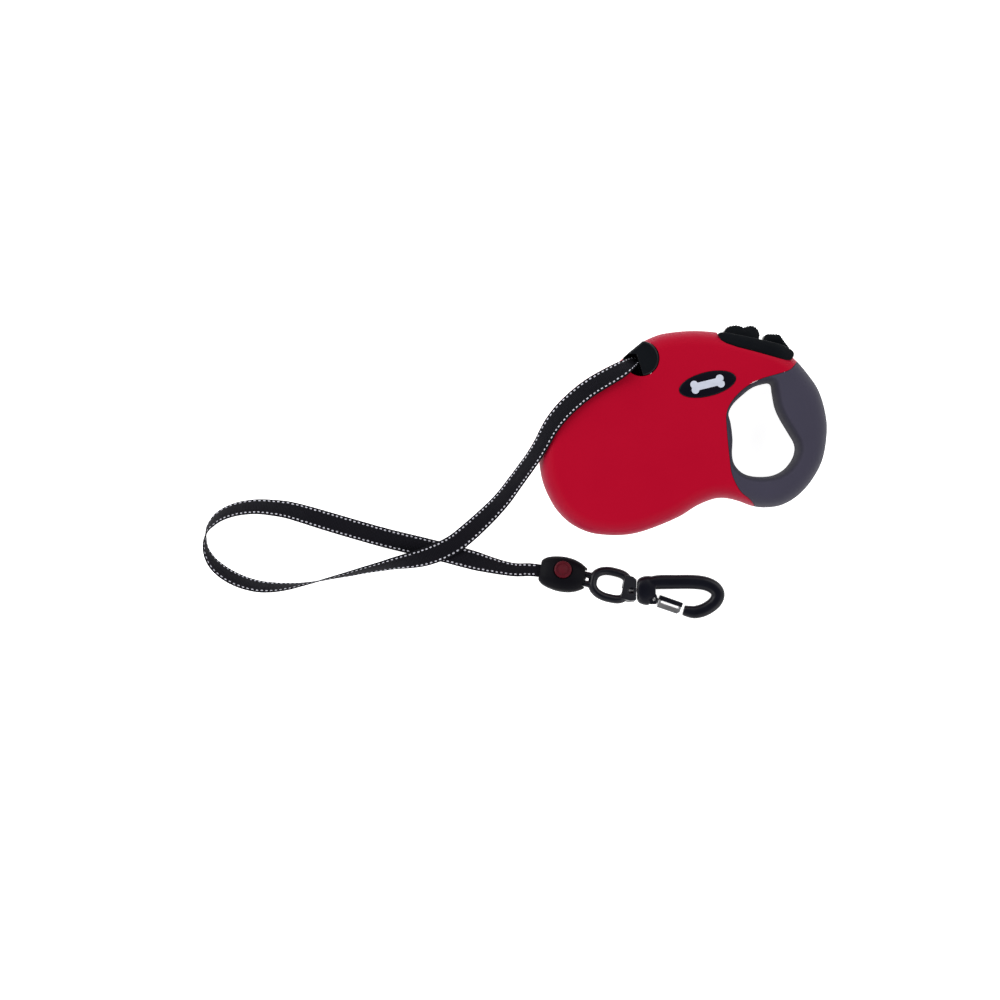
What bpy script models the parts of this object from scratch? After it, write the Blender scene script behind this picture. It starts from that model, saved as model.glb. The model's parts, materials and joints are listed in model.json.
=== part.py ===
"""Retractable tape leash, lying on its side with the hand grip to the right.

Metres, +Z up. The origin is under the middle of the housing, on the surface it lies on.
Lengths below are in millimetres and are turned into metres where a mesh is made.
"""

import math

import bmesh
import bpy
from mathutils import Matrix, Vector
from mathutils.geometry import tessellate_polygon

MM = 0.001

# Driving dimensions, millimetres.
THICKNESS = 44.0
MID = THICKNESS / 2
GAP = 0.3
WALL = 2.6
RIM_OUTER = 12.0
RIM_HOLE = 5.0
RIM_POWER = 2.4

REEL = Vector((-40.5, -15.0))
NOZZLE = Vector((-30.4, 50.5))
NOZZLE_RADIUS = 12.4

TAPE_WIDTH = 14.0
TAPE_THICKNESS = 1.0
TAPE_Z = 30.8
WOUND_INNER = 27.4
WOUND_OUTER = 46.3

RATCHET_TEETH = 36
RATCHET_TIP = 51.0
RATCHET_ROOT = 48.2
RATCHET_GAP_ANGLE = 42.4

BRAKE = Vector((53.6, 56.1))
BRAKE_SLOPE = math.radians(-12.0)
BRAKE_TRAVEL = 4.0

COLLAR = Vector((-85.0, -103.1, 9.3))
COLLAR_YAW = math.radians(-11.0)
COLLAR_ROLL = math.radians(14.0)
LINK_START = Vector((-72.95, -105.45, 9.0))
LINK_END = Vector((-33.0, -114.8, 5.7))
HOOK = Vector((-31.8, -114.8, 5.4))
GATE_PIVOT = Vector((-19.5, -121.0, 5.4))
GATE_YAW = math.radians(-19.0)

# The housing seen from above, clockwise from the nozzle.
OUTLINE = [
    (-41.8, 52.5), (-33.2, 60.6), (-20.4, 67.2), (-8.9, 69.9), (8.2, 71.1), (25.4, 69.8), (41.0, 66.4),
    (58.9, 61.1), (69.6, 56.8), (78.9, 51.4), (88.2, 41.1), (96.8, 28.2), (101.8, 11.1), (102.5, -3.2),
    (99.6, -20.4), (92.5, -34.6), (82.5, -46.1), (71.1, -53.0), (59.6, -55.0), (50.0, -54.0), (41.1, -50.8),
    (33.9, -48.8), (26.8, -48.2), (19.6, -49.6), (9.6, -53.9), (-1.8, -61.1), (-16.1, -67.5), (-30.4, -72.5),
    (-42.0, -74.6), (-54.6, -74.6), (-67.5, -72.5), (-80.4, -66.1), (-90.4, -56.1), (-97.5, -43.2),
    (-101.1, -31.8), (-102.5, -18.5), (-101.1, -5.1), (-97.5, 5.4), (-90.4, 16.8), (-80.4, 27.5),
    (-67.5, 36.8), (-56.1, 43.2), (-47.5, 47.6),
]
# The hand hole, egg shaped, with finger grooves on the grip side.
HAND_HOLE = [
    (62.6, 33.2), (55.4, 32.6), (48.2, 29.6), (41.1, 23.9), (35.4, 18.2), (32.4, 11.8), (33.9, 5.0),
    (35.2, -6.1), (34.9, -17.5), (36.8, -24.6), (42.5, -30.4), (51.1, -32.9), (62.5, -32.5), (71.1, -28.9),
    (76.8, -23.2), (80.2, -16.1), (80.0, -9.4), (75.4, -1.2), (69.8, 8.2), (66.1, 16.8), (64.2, 26.5),
]
# The soft grip's outer edge, running past the housing's outline on the right.
GRIP_EDGE = [
    (88.0, 57.0), (84.4, 53.0), (79.6, 47.6), (74.6, 42.6), (67.5, 40.0), (61.8, 38.4), (54.6, 36.2),
    (46.8, 32.5), (39.6, 27.2), (33.2, 19.8), (29.8, 11.8), (29.8, 1.8), (31.6, -17.5), (33.7, -31.8),
    (39.4, -43.0), (46.4, -48.9), (51.0, -54.2), (54.5, -60.0), (75.0, -64.0), (100.0, -48.0),
    (112.0, -20.0), (113.0, 10.0), (106.0, 38.0), (96.0, 54.0),
]
# The hollow inside the front of the housing.
CAVITY = [
    (-44.4, 46.3), (-34.0, 54.0), (-18.6, 64.6), (-8.5, 67.2), (8.2, 68.4), (25.0, 67.2), (40.3, 63.8),
    (57.6, 58.8), (68.0, 54.2), (72.0, 50.4), (69.0, 45.8), (61.5, 42.0), (53.6, 39.6), (45.0, 35.6),
    (37.3, 29.9), (30.6, 21.4), (26.9, 12.6), (26.8, 1.6), (28.8, -17.2), (30.6, -31.4), (31.0, -40.5),
    (26.0, -45.4), (18.9, -46.9), (8.4, -51.4), (-3.0, -58.7), (-17.0, -65.0), (-31.0, -69.9),
    (-42.0, -72.0), (-54.4, -72.0), (-66.6, -70.0), (-78.8, -64.0), (-88.3, -54.5), (-95.0, -42.0),
    (-98.5, -31.0), (-99.9, -18.0), (-98.5, -6.0), (-95.1, 4.2), (-88.4, 15.1), (-78.8, 25.4),
    (-66.2, 34.5), (-54.8, 40.9),
]
# The stiff core of the grip: its middle line and half widths.
CORE_LINE = [
    (66.0, 48.6, 3.0), (72.5, 45.6, 3.2), (79.0, 39.5, 5.0), (83.5, 30.0, 7.5), (85.5, 18.0, 8.5), (87.0, 8.0, 7.5),
    (90.2, -2.0, 5.8), (91.4, -12.0, 5.4), (89.0, -24.0, 5.6), (82.0, -34.5, 6.0), (72.0, -42.2, 6.0),
    (60.0, -44.6, 5.4), (49.0, -45.6, 3.6), (40.5, -46.2, 1.9), (33.0, -44.8, 1.7),
]
CORE_HALF_HEIGHT = 13.0
CORE_WALL = 2.2

SCREWS = [(-8.0, 57.0), (15.5, 4.0), (12.0, -43.5), (86.0, 15.0), (82.0, -34.5)]

# The free tape from the nozzle to the collar: x, y, roll in degrees, height added above the surface.
# Roll 0 is flat, 90 stands on edge with its right-hand side up.
TAPE_ROUTE = [
    (-28.2, 49.1, -83.0, 25.6), (-32.4, 49.3, -73.0, 27.5), (-36.2, 47.9, -57.0, 32.6),
    (-40.7, 45.1, -44.0, 39.9), (-45.1, 42.4, -33.0, 41.0), (-51.8, 38.6, -25.0, 41.2),
    (-58.9, 34.6, -21.0, 41.7), (-67.0, 29.6, -20.0, 41.8), (-75.1, 23.4, -21.0, 41.6),
    (-83.4, 15.9, -24.0, 41.0), (-90.1, 8.4, -28.0, 39.9), (-95.6, 0.4, -33.0, 38.2),
    (-100.8, -9.3, -38.0, 35.4), (-106.4, -18.6, -39.0, 30.2), (-113.2, -28.2, -38.0, 23.2),
    (-120.0, -37.5, -36.0, 15.8), (-127.4, -47.5, -32.0, 9.4), (-135.4, -56.4, -26.0, 4.6),
    (-144.6, -65.4, -17.0, 2.4), (-154.1, -73.9, -8.0, 2.2), (-163.2, -81.1, 0.0, 2.2),
    (-173.2, -86.4, 6.0, 1.8), (-183.9, -90.4, 18.0, 1.0), (-194.6, -93.0, 34.0, 0.3),
    (-205.6, -95.0, 50.0, 0.0), (-216.1, -97.4, 61.0, 0.0), (-226.9, -99.8, 69.0, 0.0),
    (-237.5, -102.4, 75.0, 0.0), (-251.8, -105.7, 84.0, 0.0), (-262.5, -108.3, 90.0, 0.0),
    (-273.2, -110.4, 98.0, 0.0), (-282.0, -111.7, 107.0, 0.0), (-293.0, -112.4, 117.0, 0.0),
    (-304.6, -111.7, 124.0, 0.0), (-316.1, -108.6, 128.0, 0.0), (-326.4, -103.7, 128.0, 0.0),
    (-334.6, -97.5, 122.0, 0.0), (-339.6, -91.0, 111.0, 0.0), (-342.3, -84.1, 99.0, 0.0),
    (-342.6, -77.5, 90.0, 0.0), (-341.2, -71.2, 78.0, 0.0), (-337.9, -66.3, 67.0, 0.0),
    (-332.4, -61.3, 57.0, 0.0), (-324.6, -57.6, 50.0, 0.0), (-316.1, -55.4, 45.0, 0.0),
    (-305.4, -54.4, 41.0, 0.0), (-294.6, -55.1, 36.0, 0.0), (-283.9, -56.6, 30.0, 0.0),
    (-272.5, -59.6, 22.0, 0.0), (-256.0, -64.6, 12.0, 0.0), (-237.5, -70.1, 4.0, 0.0),
    (-216.1, -76.2, 0.0, 0.0), (-201.8, -79.8, 0.0, 0.0), (-187.5, -83.2, 0.0, 0.0),
    (-173.2, -86.8, 0.0, 0.0), (-162.0, -89.8, 3.0, 0.0), (-151.8, -92.5, 12.0, 0.0),
    (-141.1, -95.4, 24.0, 0.1), (-130.4, -98.0, 32.0, 0.9), (-119.5, -99.8, 33.0, 2.6),
    (-109.0, -99.7, 24.0, 5.6), (-101.4, -100.5, 14.0, 7.4),
]
# The tape inside the nozzle: x, y, z, roll. The passage round it: x, y, half width.
INNER_END = [(-22.6, 42.4, 30.9, -90.0), (-25.2, 46.2, 31.4, -88.0), (-27.4, 48.5, 32.3, -86.0)]
PASSAGE = [(-17.0, 34.5, 2.4), (-24.5, 45.6, 2.4), (-27.4, 48.6, 2.8), (-31.0, 49.6, 4.0), (-37.0, 49.0, 5.2)]
TAPE_RINGS = 84
TAPE_REST_GAP = 0.2
TAPE_TAPER_FROM = 0.93
TAPE_END_WIDTH = 0.66


def clear_scene():
    for obj in list(bpy.data.objects):
        bpy.data.objects.remove(obj, do_unlink=True)


def material(name, colour, roughness, metallic=0.0):
    made = bpy.data.materials.new(name)
    made.use_nodes = True
    shader = made.node_tree.nodes["Principled BSDF"]
    shader.inputs["Base Color"].default_value = (*colour, 1.0)
    shader.inputs["Roughness"].default_value = roughness
    shader.inputs["Metallic"].default_value = metallic
    return made


def axis_empty(name, place):
    empty = bpy.data.objects.new(name, None)
    empty.location = Vector(place) * MM
    bpy.context.scene.collection.objects.link(empty)
    return empty


def new_object(name, points, faces, look, parent=None):
    """A mesh object from points in millimetres. Under a parent empty its origin is the empty's."""
    origin = parent.location if parent else Vector((0, 0, 0))
    mesh = bpy.data.meshes.new(name)
    mesh.from_pydata([Vector(p) * MM - origin for p in points], [], faces)
    work = bmesh.new()
    work.from_mesh(mesh)
    bmesh.ops.recalc_face_normals(work, faces=work.faces)
    work.to_mesh(mesh)
    work.free()
    mesh.materials.append(look)
    mesh.shade_smooth()
    mesh.set_sharp_from_angle(angle=math.radians(35))
    obj = bpy.data.objects.new(name, mesh)
    obj.parent = parent
    bpy.context.scene.collection.objects.link(obj)
    return obj


def helper(obj):
    """Marks an object as a Boolean's tool, which isn't a part."""
    obj.hide_render = True
    obj.display_type = "WIRE"
    return obj


def boolean(obj, tool, operation="DIFFERENCE"):
    step = obj.modifiers.new(operation.title() + " " + tool.name, "BOOLEAN")
    step.operation = operation
    step.object = tool
    step.solver = "EXACT"


def spline(points, closed, count):
    """Evenly spaced points on a smooth curve through the given points, of any dimension."""
    known = [Vector(p) for p in points]
    size = len(known)
    spans = size if closed else size - 1

    def at(i):
        return known[i % size] if closed else known[min(max(i, 0), size - 1)]

    fine = []
    steps = 12
    for i in range(spans):
        a, b, c, d = at(i - 1), at(i), at(i + 1), at(i + 2)
        for k in range(steps):
            t = k / steps
            fine.append(
                0.5 * (2 * b + (c - a) * t + (2 * a - 5 * b + 4 * c - d) * t * t + (3 * b - a - 3 * c + d) * t**3)
            )
    fine.append(known[0] if closed else known[-1])
    travelled = [0.0]
    for p, q in zip(fine, fine[1:]):
        travelled.append(travelled[-1] + (Vector(q[:3]) - Vector(p[:3])).length)
    found = []
    k = 0
    for i in range(count):
        goal = travelled[-1] * i / (count if closed else count - 1)
        while k < len(fine) - 2 and travelled[k + 1] < goal:
            k += 1
        part = (goal - travelled[k]) / (travelled[k + 1] - travelled[k])
        found.append(fine[k].lerp(fine[k + 1], part))
    return found


def inset(loop, distance):
    """Moves a clockwise loop's points inwards, and an anticlockwise loop's outwards, by the distance."""
    moved = []
    for i, p in enumerate(loop):
        along = (loop[(i + 1) % len(loop)] - loop[i - 1]).normalized()
        moved.append(p + Vector((along.y, -along.x)) * distance)
    return moved


def loft(rings):
    """Points and faces of a closed solid through rings of the same size, with both ends capped."""
    size = len(rings[0])
    points = [p for ring in rings for p in ring]
    faces = []
    for k in range(len(rings) - 1):
        for i in range(size):
            j = (i + 1) % size
            faces.append((k * size + i, k * size + j, (k + 1) * size + j, (k + 1) * size + i))
    faces.append(tuple(range(size)))
    last = (len(rings) - 1) * size
    faces.append(tuple(last + i for i in range(size)))
    return points, faces


def level(loop, z):
    return [Vector((p[0], p[1], z)) for p in loop]


def prism(name, loop, low, high, look, parent=None):
    return new_object(name, *loft([level(loop, low), level(loop, high)]), look, parent)


def circle(centre, radius, count=32, start=0.0):
    return [
        Vector((centre[0] + radius * math.cos(start + 2 * math.pi * i / count),
                centre[1] + radius * math.sin(start + 2 * math.pi * i / count)))
        for i in range(count)
    ]


def turned(name, profile, centre, look, parent=None, count=40):
    """A ring turned about a vertical axis from a closed profile of (radius, z), radius above 0."""
    size = len(profile)
    points = []
    for i in range(count):
        angle = 2 * math.pi * i / count
        for radius, z in profile:
            points.append((centre[0] + radius * math.cos(angle), centre[1] + radius * math.sin(angle), z))
    faces = []
    for i in range(count):
        here, there = i * size, (i + 1) % count * size
        for k in range(size):
            m = (k + 1) % size
            faces.append((here + k, here + m, there + m, there + k))
    return new_object(name, points, faces, look, parent)


def stacked(name, steps, centre, look, parent=None, count=12):
    """A solid round post from (radius, z) steps, bottom to top."""
    rings = [level(circle(centre, radius, count), z) for radius, z in steps]
    return new_object(name, *loft(rings), look, parent)


def placed(frame, points):
    return [frame @ Vector(p) for p in points]


def frame_along(place, direction, roll=0.0):
    """A frame with X along the direction and Z up, then rolled about X so that -Y rises."""
    x = Vector(direction).normalized()
    y = Vector((0, 0, 1)).cross(x).normalized()
    z = x.cross(y)
    turn = Matrix.Rotation(-roll, 3, "X")
    basis = Matrix((x, y, z)).transposed() @ turn
    return Matrix.Translation(Vector(place)) @ basis.to_4x4()


def box_points(low, high):
    return [[(x, y, z) for x, y in ((low[0], low[1]), (high[0], low[1]), (high[0], high[1]), (low[0], high[1]))]
            for z in (low[2], high[2])]


def box(name, frame, low, high, look, parent=None):
    rings = [placed(frame, ring) for ring in box_points(low, high)]
    return new_object(name, *loft(rings), look, parent)


def rod(name, frame, steps, look, parent=None, count=10):
    """A round bar along the frame's X axis from (x, radius) steps."""
    rings = []
    for x, radius in steps:
        rings.append(placed(frame, [(x, p.x, p.y) for p in circle((0, 0), radius, count)]))
    return new_object(name, *loft(rings), look, parent)


def tube(name, path, radius, look, parent=None, sides=6, closed=False):
    """A wire of round section along a path."""
    rings = []
    for i, p in enumerate(path):
        if closed:
            along = path[(i + 1) % len(path)] - path[i - 1]
        else:
            along = path[min(i + 1, len(path) - 1)] - path[max(i - 1, 0)]
        side = Vector((0, 0, 1)).cross(along).normalized()
        up = along.normalized().cross(side)
        rings.append([p + (side * q.x + up * q.y) for q in circle((0, 0), radius, sides)])
    if not closed:
        return new_object(name, *loft(rings), look, parent)
    points, faces = loft(rings)
    faces = faces[:-2]
    last = (len(rings) - 1) * sides
    for i in range(sides):
        j = (i + 1) % sides
        faces.append((last + i, last + j, j, i))
    return new_object(name, points, faces, look, parent)


def rim_levels(width, height, first):
    """(inset, rise) pairs up a rounded rim, steep at the parting line and flat at the top."""
    found = [(0.0, first)]
    for share in (0.03, 0.12, 0.28, 0.55, 1.0):
        rise = height * (1 - (1 - share) ** RIM_POWER) ** (1 / RIM_POWER)
        found.append((width * share, rise))
    return found


def crowned(name, side, look, hole=None, proud=0.0):
    """Half of the housing's outer shape, above (side 1) or below (side -1) the parting plane."""
    outer = spline(OUTLINE, True, 80)
    height = MID + proud
    levels = rim_levels(RIM_OUTER, height, GAP / 2)
    rings = [level(inset(outer, d), MID + side * z) for d, z in levels]
    if hole is None:
        return new_object(name, *loft(rings), look)
    bore = spline(hole, True, 44)[::-1]
    bore_levels = rim_levels(RIM_HOLE, height, GAP / 2)
    bores = [level(inset(bore[::-1], d), MID + side * z) for d, z in bore_levels]
    size, small = len(outer), len(bore)
    points = [p for ring in rings for p in ring] + [p for ring in bores for p in ring]
    start = len(rings) * size
    faces = []
    for base, count, total in ((0, size, len(rings)), (start, small, len(bores))):
        for k in range(total - 1):
            for i in range(count):
                j = (i + 1) % count
                faces.append((base + k * count + i, base + k * count + j,
                              base + (k + 1) * count + j, base + (k + 1) * count + i))
    for k in (0, len(rings) - 1):
        lids = [rings[k], bores[k]]
        for triangle in tessellate_polygon([[Vector((p.x, p.y, 0)) for p in ring] for ring in lids]):
            faces.append(tuple(k * size + i if i < size else start + k * small + i - size for i in triangle))
    return new_object(name, points, faces, look)


def band(line, shrink):
    """The outline of a band along a line of (x, y, half width) points."""
    path = spline(line, False, 30)
    left, right = [], []
    for i, p in enumerate(path):
        along = Vector(path[min(i + 1, len(path) - 1)][:2]) - Vector(path[max(i - 1, 0)][:2])
        across = Vector((-along.y, along.x)).normalized() * (p[2] - shrink)
        middle = Vector(p[:2])
        left.append(middle + across)
        right.append(middle - across)
    return left + right[::-1]


def cavity_solid(name, side, look):
    loop = spline(CAVITY, True, 64)
    levels = [(0.0, -0.5), (0.0, 9.5), (2.0, 14.0), (5.5, 17.6), (9.5, MID - WALL)]
    rings = [level(inset(loop, d), MID + side * z) for d, z in levels]
    return helper(new_object(name, *loft(rings), look))


def uv_point(u, v):
    """A point of the brake's own plan axes, u rearwards along the housing's top and v outwards."""
    along = Vector((math.cos(BRAKE_SLOPE), math.sin(BRAKE_SLOPE)))
    out = Vector((-along.y, along.x))
    return BRAKE + along * u + out * v


def uv_prism(name, corners, low, high, look, parent=None):
    return prism(name, [uv_point(u, v) for u, v in corners], low, high, look, parent)


def uv_box(name, u0, u1, v0, v1, low, high, look, parent=None):
    return uv_prism(name, [(u0, v0), (u1, v0), (u1, v1), (u0, v1)], low, high, look, parent)


BEZEL_EDGE = [
    (-31.4, 5.0), (-28.5, 1.6), (-24.5, 0.2), (-16.0, -0.8), (-5.5, -1.2), (4.0, -1.7), (13.0, -2.3), (19.4, -2.6),
    (22.8, -1.4), (24.1, 1.2), (22.6, 4.6), (14.5, 7.2), (2.0, 7.8), (-10.0, 7.8), (-22.0, 7.6), (-29.5, 7.0),
]
BEZEL_CUT = BEZEL_EDGE[:10] + [(24.1, 14.0), (-31.6, 14.0)]
BUTTON_TOP = [
    (-27.4, 7.6), (-26.2, 10.6), (-23.6, 13.0), (-19.4, 14.5), (-16.2, 14.5), (-14.0, 14.0), (-12.0, 15.2),
    (-9.2, 16.4), (-6.2, 16.0), (-3.4, 14.0), (-1.9, 11.4),
]
LOCK_TOP = [
    (1.7, 8.3), (1.9, 11.8), (4.0, 13.2), (11.2, 14.4), (13.0, 13.5), (17.0, 9.8), (20.6, 7.0), (15.0, 8.0),
]


def ellipse(centre, length, width, angle, count=36):
    turn = Matrix.Rotation(angle, 2)
    return [
        Vector(centre) + turn @ Vector((length / 2 * math.cos(2 * math.pi * i / count),
                                        width / 2 * math.sin(2 * math.pi * i / count)))
        for i in range(count)
    ]


BADGE = (16.2, 32.2)
BADGE_SIZE = (41.0, 16.8)
BADGE_ANGLE = math.radians(13.7)


def nozzle_outline(grow):
    """A disc cut off along the housing's sloping front edge."""
    edge_start, edge_end = Vector((-42.4, 52.2)), Vector((-27.6, 64.4))
    slope = (edge_end - edge_start).normalized()
    outwards = Vector((-slope.y, slope.x))
    found = []
    for p in circle(NOZZLE, NOZZLE_RADIUS + grow, 40):
        over = (p - edge_start).dot(outwards) - grow
        found.append(p - outwards * max(over, 0.0))
    return found


def tape_frame(route, i):
    """Place, width direction and face direction of the tape at one sampled point."""
    here = Vector(route[i][:3])
    along = (Vector(route[min(i + 1, len(route) - 1)][:3]) - Vector(route[max(i - 1, 0)][:3])).normalized()
    right = along.cross(Vector((0, 0, 1))).normalized()
    roll = math.radians(route[i][3])
    wide = right * math.cos(roll) + Vector((0, 0, 1)) * math.sin(roll)
    return here, wide, wide.cross(along).normalized()


def tape_points(count):
    """(x, y, z, roll) along the free tape: lift plus the height of a strip lying at that roll."""
    flat = spline([(x, y, lift, roll) for x, y, roll, lift in TAPE_ROUTE], False, count)
    found = []
    for x, y, lift, roll in flat:
        angle = math.radians(roll)
        rest = TAPE_WIDTH / 2 * abs(math.sin(angle)) + TAPE_THICKNESS / 2 * abs(math.cos(angle)) + TAPE_REST_GAP
        found.append((x, y, max(lift, 0.0) + rest, roll))
    return found


def strip(name, route, widths, below, above, look, parent=None):
    """A flat strip solid along a route, with half widths and how far it reaches to each face."""
    rings = []
    for i in range(len(route)):
        here, wide, face = tape_frame(route, i)
        rings.append([here + wide * widths[i] - face * below[i], here + wide * widths[i] + face * above[i],
                      here - wide * widths[i] + face * above[i], here - wide * widths[i] - face * below[i]])
    return new_object(name, *loft(rings), look, parent)


def tape_half_widths(count):
    found = []
    for i in range(count):
        late = max(i / (count - 1) - TAPE_TAPER_FROM, 0.0) / (1 - TAPE_TAPER_FROM)
        found.append(TAPE_WIDTH / 2 * (1 - (1 - TAPE_END_WIDTH) * late))
    return found


def make_looks():
    return {
        "red": material("red_shell", (0.42, 0.002, 0.024), 0.35),
        "grip": material("soft_grip", (0.045, 0.04, 0.06), 0.75),
        "black": material("black_plastic", (0.008, 0.009, 0.012), 0.4),
        "inner": material("inner_plastic", (0.6, 0.6, 0.58), 0.5),
        "steel": material("steel", (0.55, 0.55, 0.57), 0.3, 1.0),
        "tape": material("webbing", (0.01, 0.01, 0.014), 0.9),
        "button": material("red_button", (0.28, 0.008, 0.02), 0.45),
        "hook": material("black_metal", (0.01, 0.011, 0.02), 0.35, 0.6),
        "badge": material("badge", (0.01, 0.01, 0.012), 0.3),
    }


def make_shells(looks):
    grip_cut = helper(prism("grip_cut", inset(spline(GRIP_EDGE, True, 60), GAP / 2), -5, THICKNESS + 5, looks["red"]))
    nozzle_cut = helper(prism("nozzle_cut", circle(NOZZLE, NOZZLE_RADIUS + GAP, 40), -5, THICKNESS + 5, looks["red"]))
    bezel_cut = helper(uv_prism("bezel_cut", inset([Vector(p) for p in BEZEL_CUT], GAP), -5, THICKNESS + 5, looks["red"]))
    for name, side in (("lower_shell", -1), ("upper_shell", 1)):
        shell = crowned(name, side, looks["red"])
        boolean(shell, grip_cut)
        face, far = MID + side * GAP / 2, MID + side * CORE_HALF_HEIGHT
        core = helper(prism(f"{name}_core", band(CORE_LINE, 0.0), face, far, looks["red"]))
        boolean(shell, core, "UNION")
        trough = helper(prism(f"{name}_trough", band(CORE_LINE[2:-4], CORE_WALL), MID - side * 0.5,
                              MID + side * (CORE_HALF_HEIGHT - CORE_WALL), looks["red"]))
        boolean(shell, trough)
        boolean(shell, cavity_solid(f"{name}_cavity", side, looks["red"]))
        for i, place in enumerate(SCREWS, 1):
            reach = CORE_HALF_HEIGHT - 1 if place[0] > 50 else MID - WALL + 1
            post = helper(prism(f"{name}_boss_{i}", circle(place, 3.3, 12), face, MID + side * reach, looks["red"]))
            boolean(shell, post, "UNION")
        make_inner_ribs(shell, side, looks)
        for i, place in enumerate(SCREWS, 1):
            boolean(shell, screw_hole(f"{name}_hole_{i}", place, looks["red"]))
        boolean(shell, nozzle_cut)
        boolean(shell, bezel_cut)
        recess = 1.3
        low, high = (-5, recess) if side < 0 else (THICKNESS - recess, THICKNESS + 5)
        pocket = ellipse(BADGE, BADGE_SIZE[0] + 2 * GAP, BADGE_SIZE[1] + 2 * GAP, BADGE_ANGLE)
        boolean(shell, helper(prism(f"{name}_badge_cut", pocket, low, high, looks["red"])))


def make_inner_ribs(shell, side, looks):
    """The spring's seat in the lower half and the two guides of the brake slider in the upper half."""
    if side < 0:
        ribs = [("spring_seat", -28.0, -22.6, -13.4, -11.4, 1.5, 26.0)]
    else:
        ribs = [("guide_front", -20.2, -18.5, -16.0, -3.0, 24.0, THICKNESS - 1.5),
                ("guide_rear", -7.5, -5.8, -16.0, -3.0, 24.0, THICKNESS - 1.5)]
    for name, u0, u1, v0, v1, low, high in ribs:
        boolean(shell, helper(uv_box(name, u0, u1, v0, v1, low, high, looks["red"])), "UNION")


def screw_hole(name, place, look):
    """The head's pocket and the shank's hole, blind in the upper half."""
    return helper(stacked(name, [(3.2, -3.0), (3.2, 3.6), (1.5, 3.6), (1.5, 33.0)], place, look, count=12))


def make_screws(looks):
    for i, place in enumerate(SCREWS, 1):
        stacked(f"case_screw_{i}", [(2.7, 1.0), (2.7, 3.2), (1.2, 3.2), (1.2, 30.0)], place, looks["steel"], count=12)


def make_grips(looks):
    region = helper(prism("grip_region", inset(spline(GRIP_EDGE, True, 60), -GAP / 2), -5, THICKNESS + 5, looks["grip"]))
    for name, side in (("lower_grip", -1), ("upper_grip", 1)):
        grip = crowned(name, side, looks["grip"], hole=HAND_HOLE)
        boolean(grip, region, "INTERSECT")
        core = helper(prism(f"{name}_core", band(CORE_LINE, -GAP), MID - side, MID + side * (CORE_HALF_HEIGHT + GAP),
                            looks["grip"]))
        boolean(grip, core)
        if side < 0:
            for i, place in enumerate(SCREWS[3:], 4):
                boolean(grip, screw_hole(f"grip_hole_{i}", place, looks["grip"]))


def make_badges(looks):
    loop = ellipse(BADGE, *BADGE_SIZE, BADGE_ANGLE)
    prism("upper_badge", loop, THICKNESS - 1.0, THICKNESS + 0.4, looks["badge"])
    prism("lower_badge", loop, 0.2, 1.0, looks["badge"])


def make_nozzle(looks):
    body = nozzle_outline(0.0)
    rings = [level(inset(body, -1.2), 2.4), level(body, 3.4), level(body, 43.4), level(inset(body, -1.2), 44.4)]
    nozzle = new_object("tape_nozzle", *loft(rings), looks["black"])
    passage = helper(prism("passage", band(PASSAGE, 0.0), 22.8, 42.4, looks["black"]))
    boolean(nozzle, passage)
    corners = [(-34.0, 53.6, 24.5), (-46.0, 53.6, 33.0), (-46.0, 34.0, 33.0), (-28.8, 37.0, 24.5)]
    mouth = new_object("mouth", *loft([[Vector(c) for c in corners], level(corners, 60.0)]), looks["black"])
    boolean(nozzle, helper(mouth))


def inner_run():
    """The tape inside the housing: on edge where it leaves the roll, turning over towards the nozzle."""
    roll_out = WOUND_OUTER + TAPE_THICKNESS / 2 + 0.5
    target = Vector(INNER_END[0][:2])
    between = target - REEL
    angle = math.atan2(between.y, between.x) - math.acos(roll_out / between.length)
    start = REEL + Vector((math.cos(angle), math.sin(angle))) * roll_out
    found = [(*start.lerp(target, k / 4), TAPE_Z, -90.0) for k in range(4)]
    return found + INNER_END


def make_reel(looks):
    turning = axis_empty("reel_axis", (*REEL, MID))
    drum = turned("reel_drum", [
        (5.3, 19.0), (28.0, 19.0), (28.0, 5.0), (30.0, 5.0), (30.0, 21.0), (50.0, 21.0), (50.0, 23.0), (27.0, 23.0),
        (27.0, 38.4), (48.0, 38.4), (48.0, 40.2), (25.0, 40.2), (25.0, 23.0), (8.0, 23.0), (8.0, 34.0), (5.3, 34.0),
    ], REEL, looks["inner"], turning)
    ring = new_object("ratchet_ring", *ratchet(), looks["black"], turning)
    turned("spring_cover", [(5.4, 5.2), (27.7, 5.2), (27.7, 7.0), (5.4, 7.0)], REEL, looks["inner"], turning, 32)
    turned("wound_tape", [(WOUND_INNER, 23.6), (WOUND_OUTER, 23.6), (WOUND_OUTER, 38.0), (WOUND_INNER, 38.0)],
           REEL, looks["tape"], turning, 40)
    for i in range(4):
        angle = math.pi / 4 + math.pi / 2 * i
        place = (REEL.x + 39.0 * math.cos(angle), REEL.y + 39.0 * math.sin(angle))
        hole = helper(stacked(f"reel_hole_{i + 1}", [(1.5, 15.0), (1.5, 24.0)], place, looks["steel"], count=10))
        boolean(drum, hole)
        boolean(ring, hole)
        stacked(f"reel_screw_{i + 1}", [(2.6, 15.5), (2.6, 17.3), (1.2, 17.3), (1.2, 22.8)], place, looks["steel"],
                turning, 10)
    arbor = stacked("reel_arbor", [(9.0, 2.9), (9.0, 4.7), (5.0, 4.7), (5.0, 41.0)], REEL, looks["steel"], count=24)
    slot = helper(box("arbor_slot", Matrix.Translation((*REEL, 0)), (-6, -0.6, 7.5), (1.0, 0.6, 18.7), looks["steel"]))
    boolean(arbor, slot)
    make_power_spring(looks)


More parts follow.
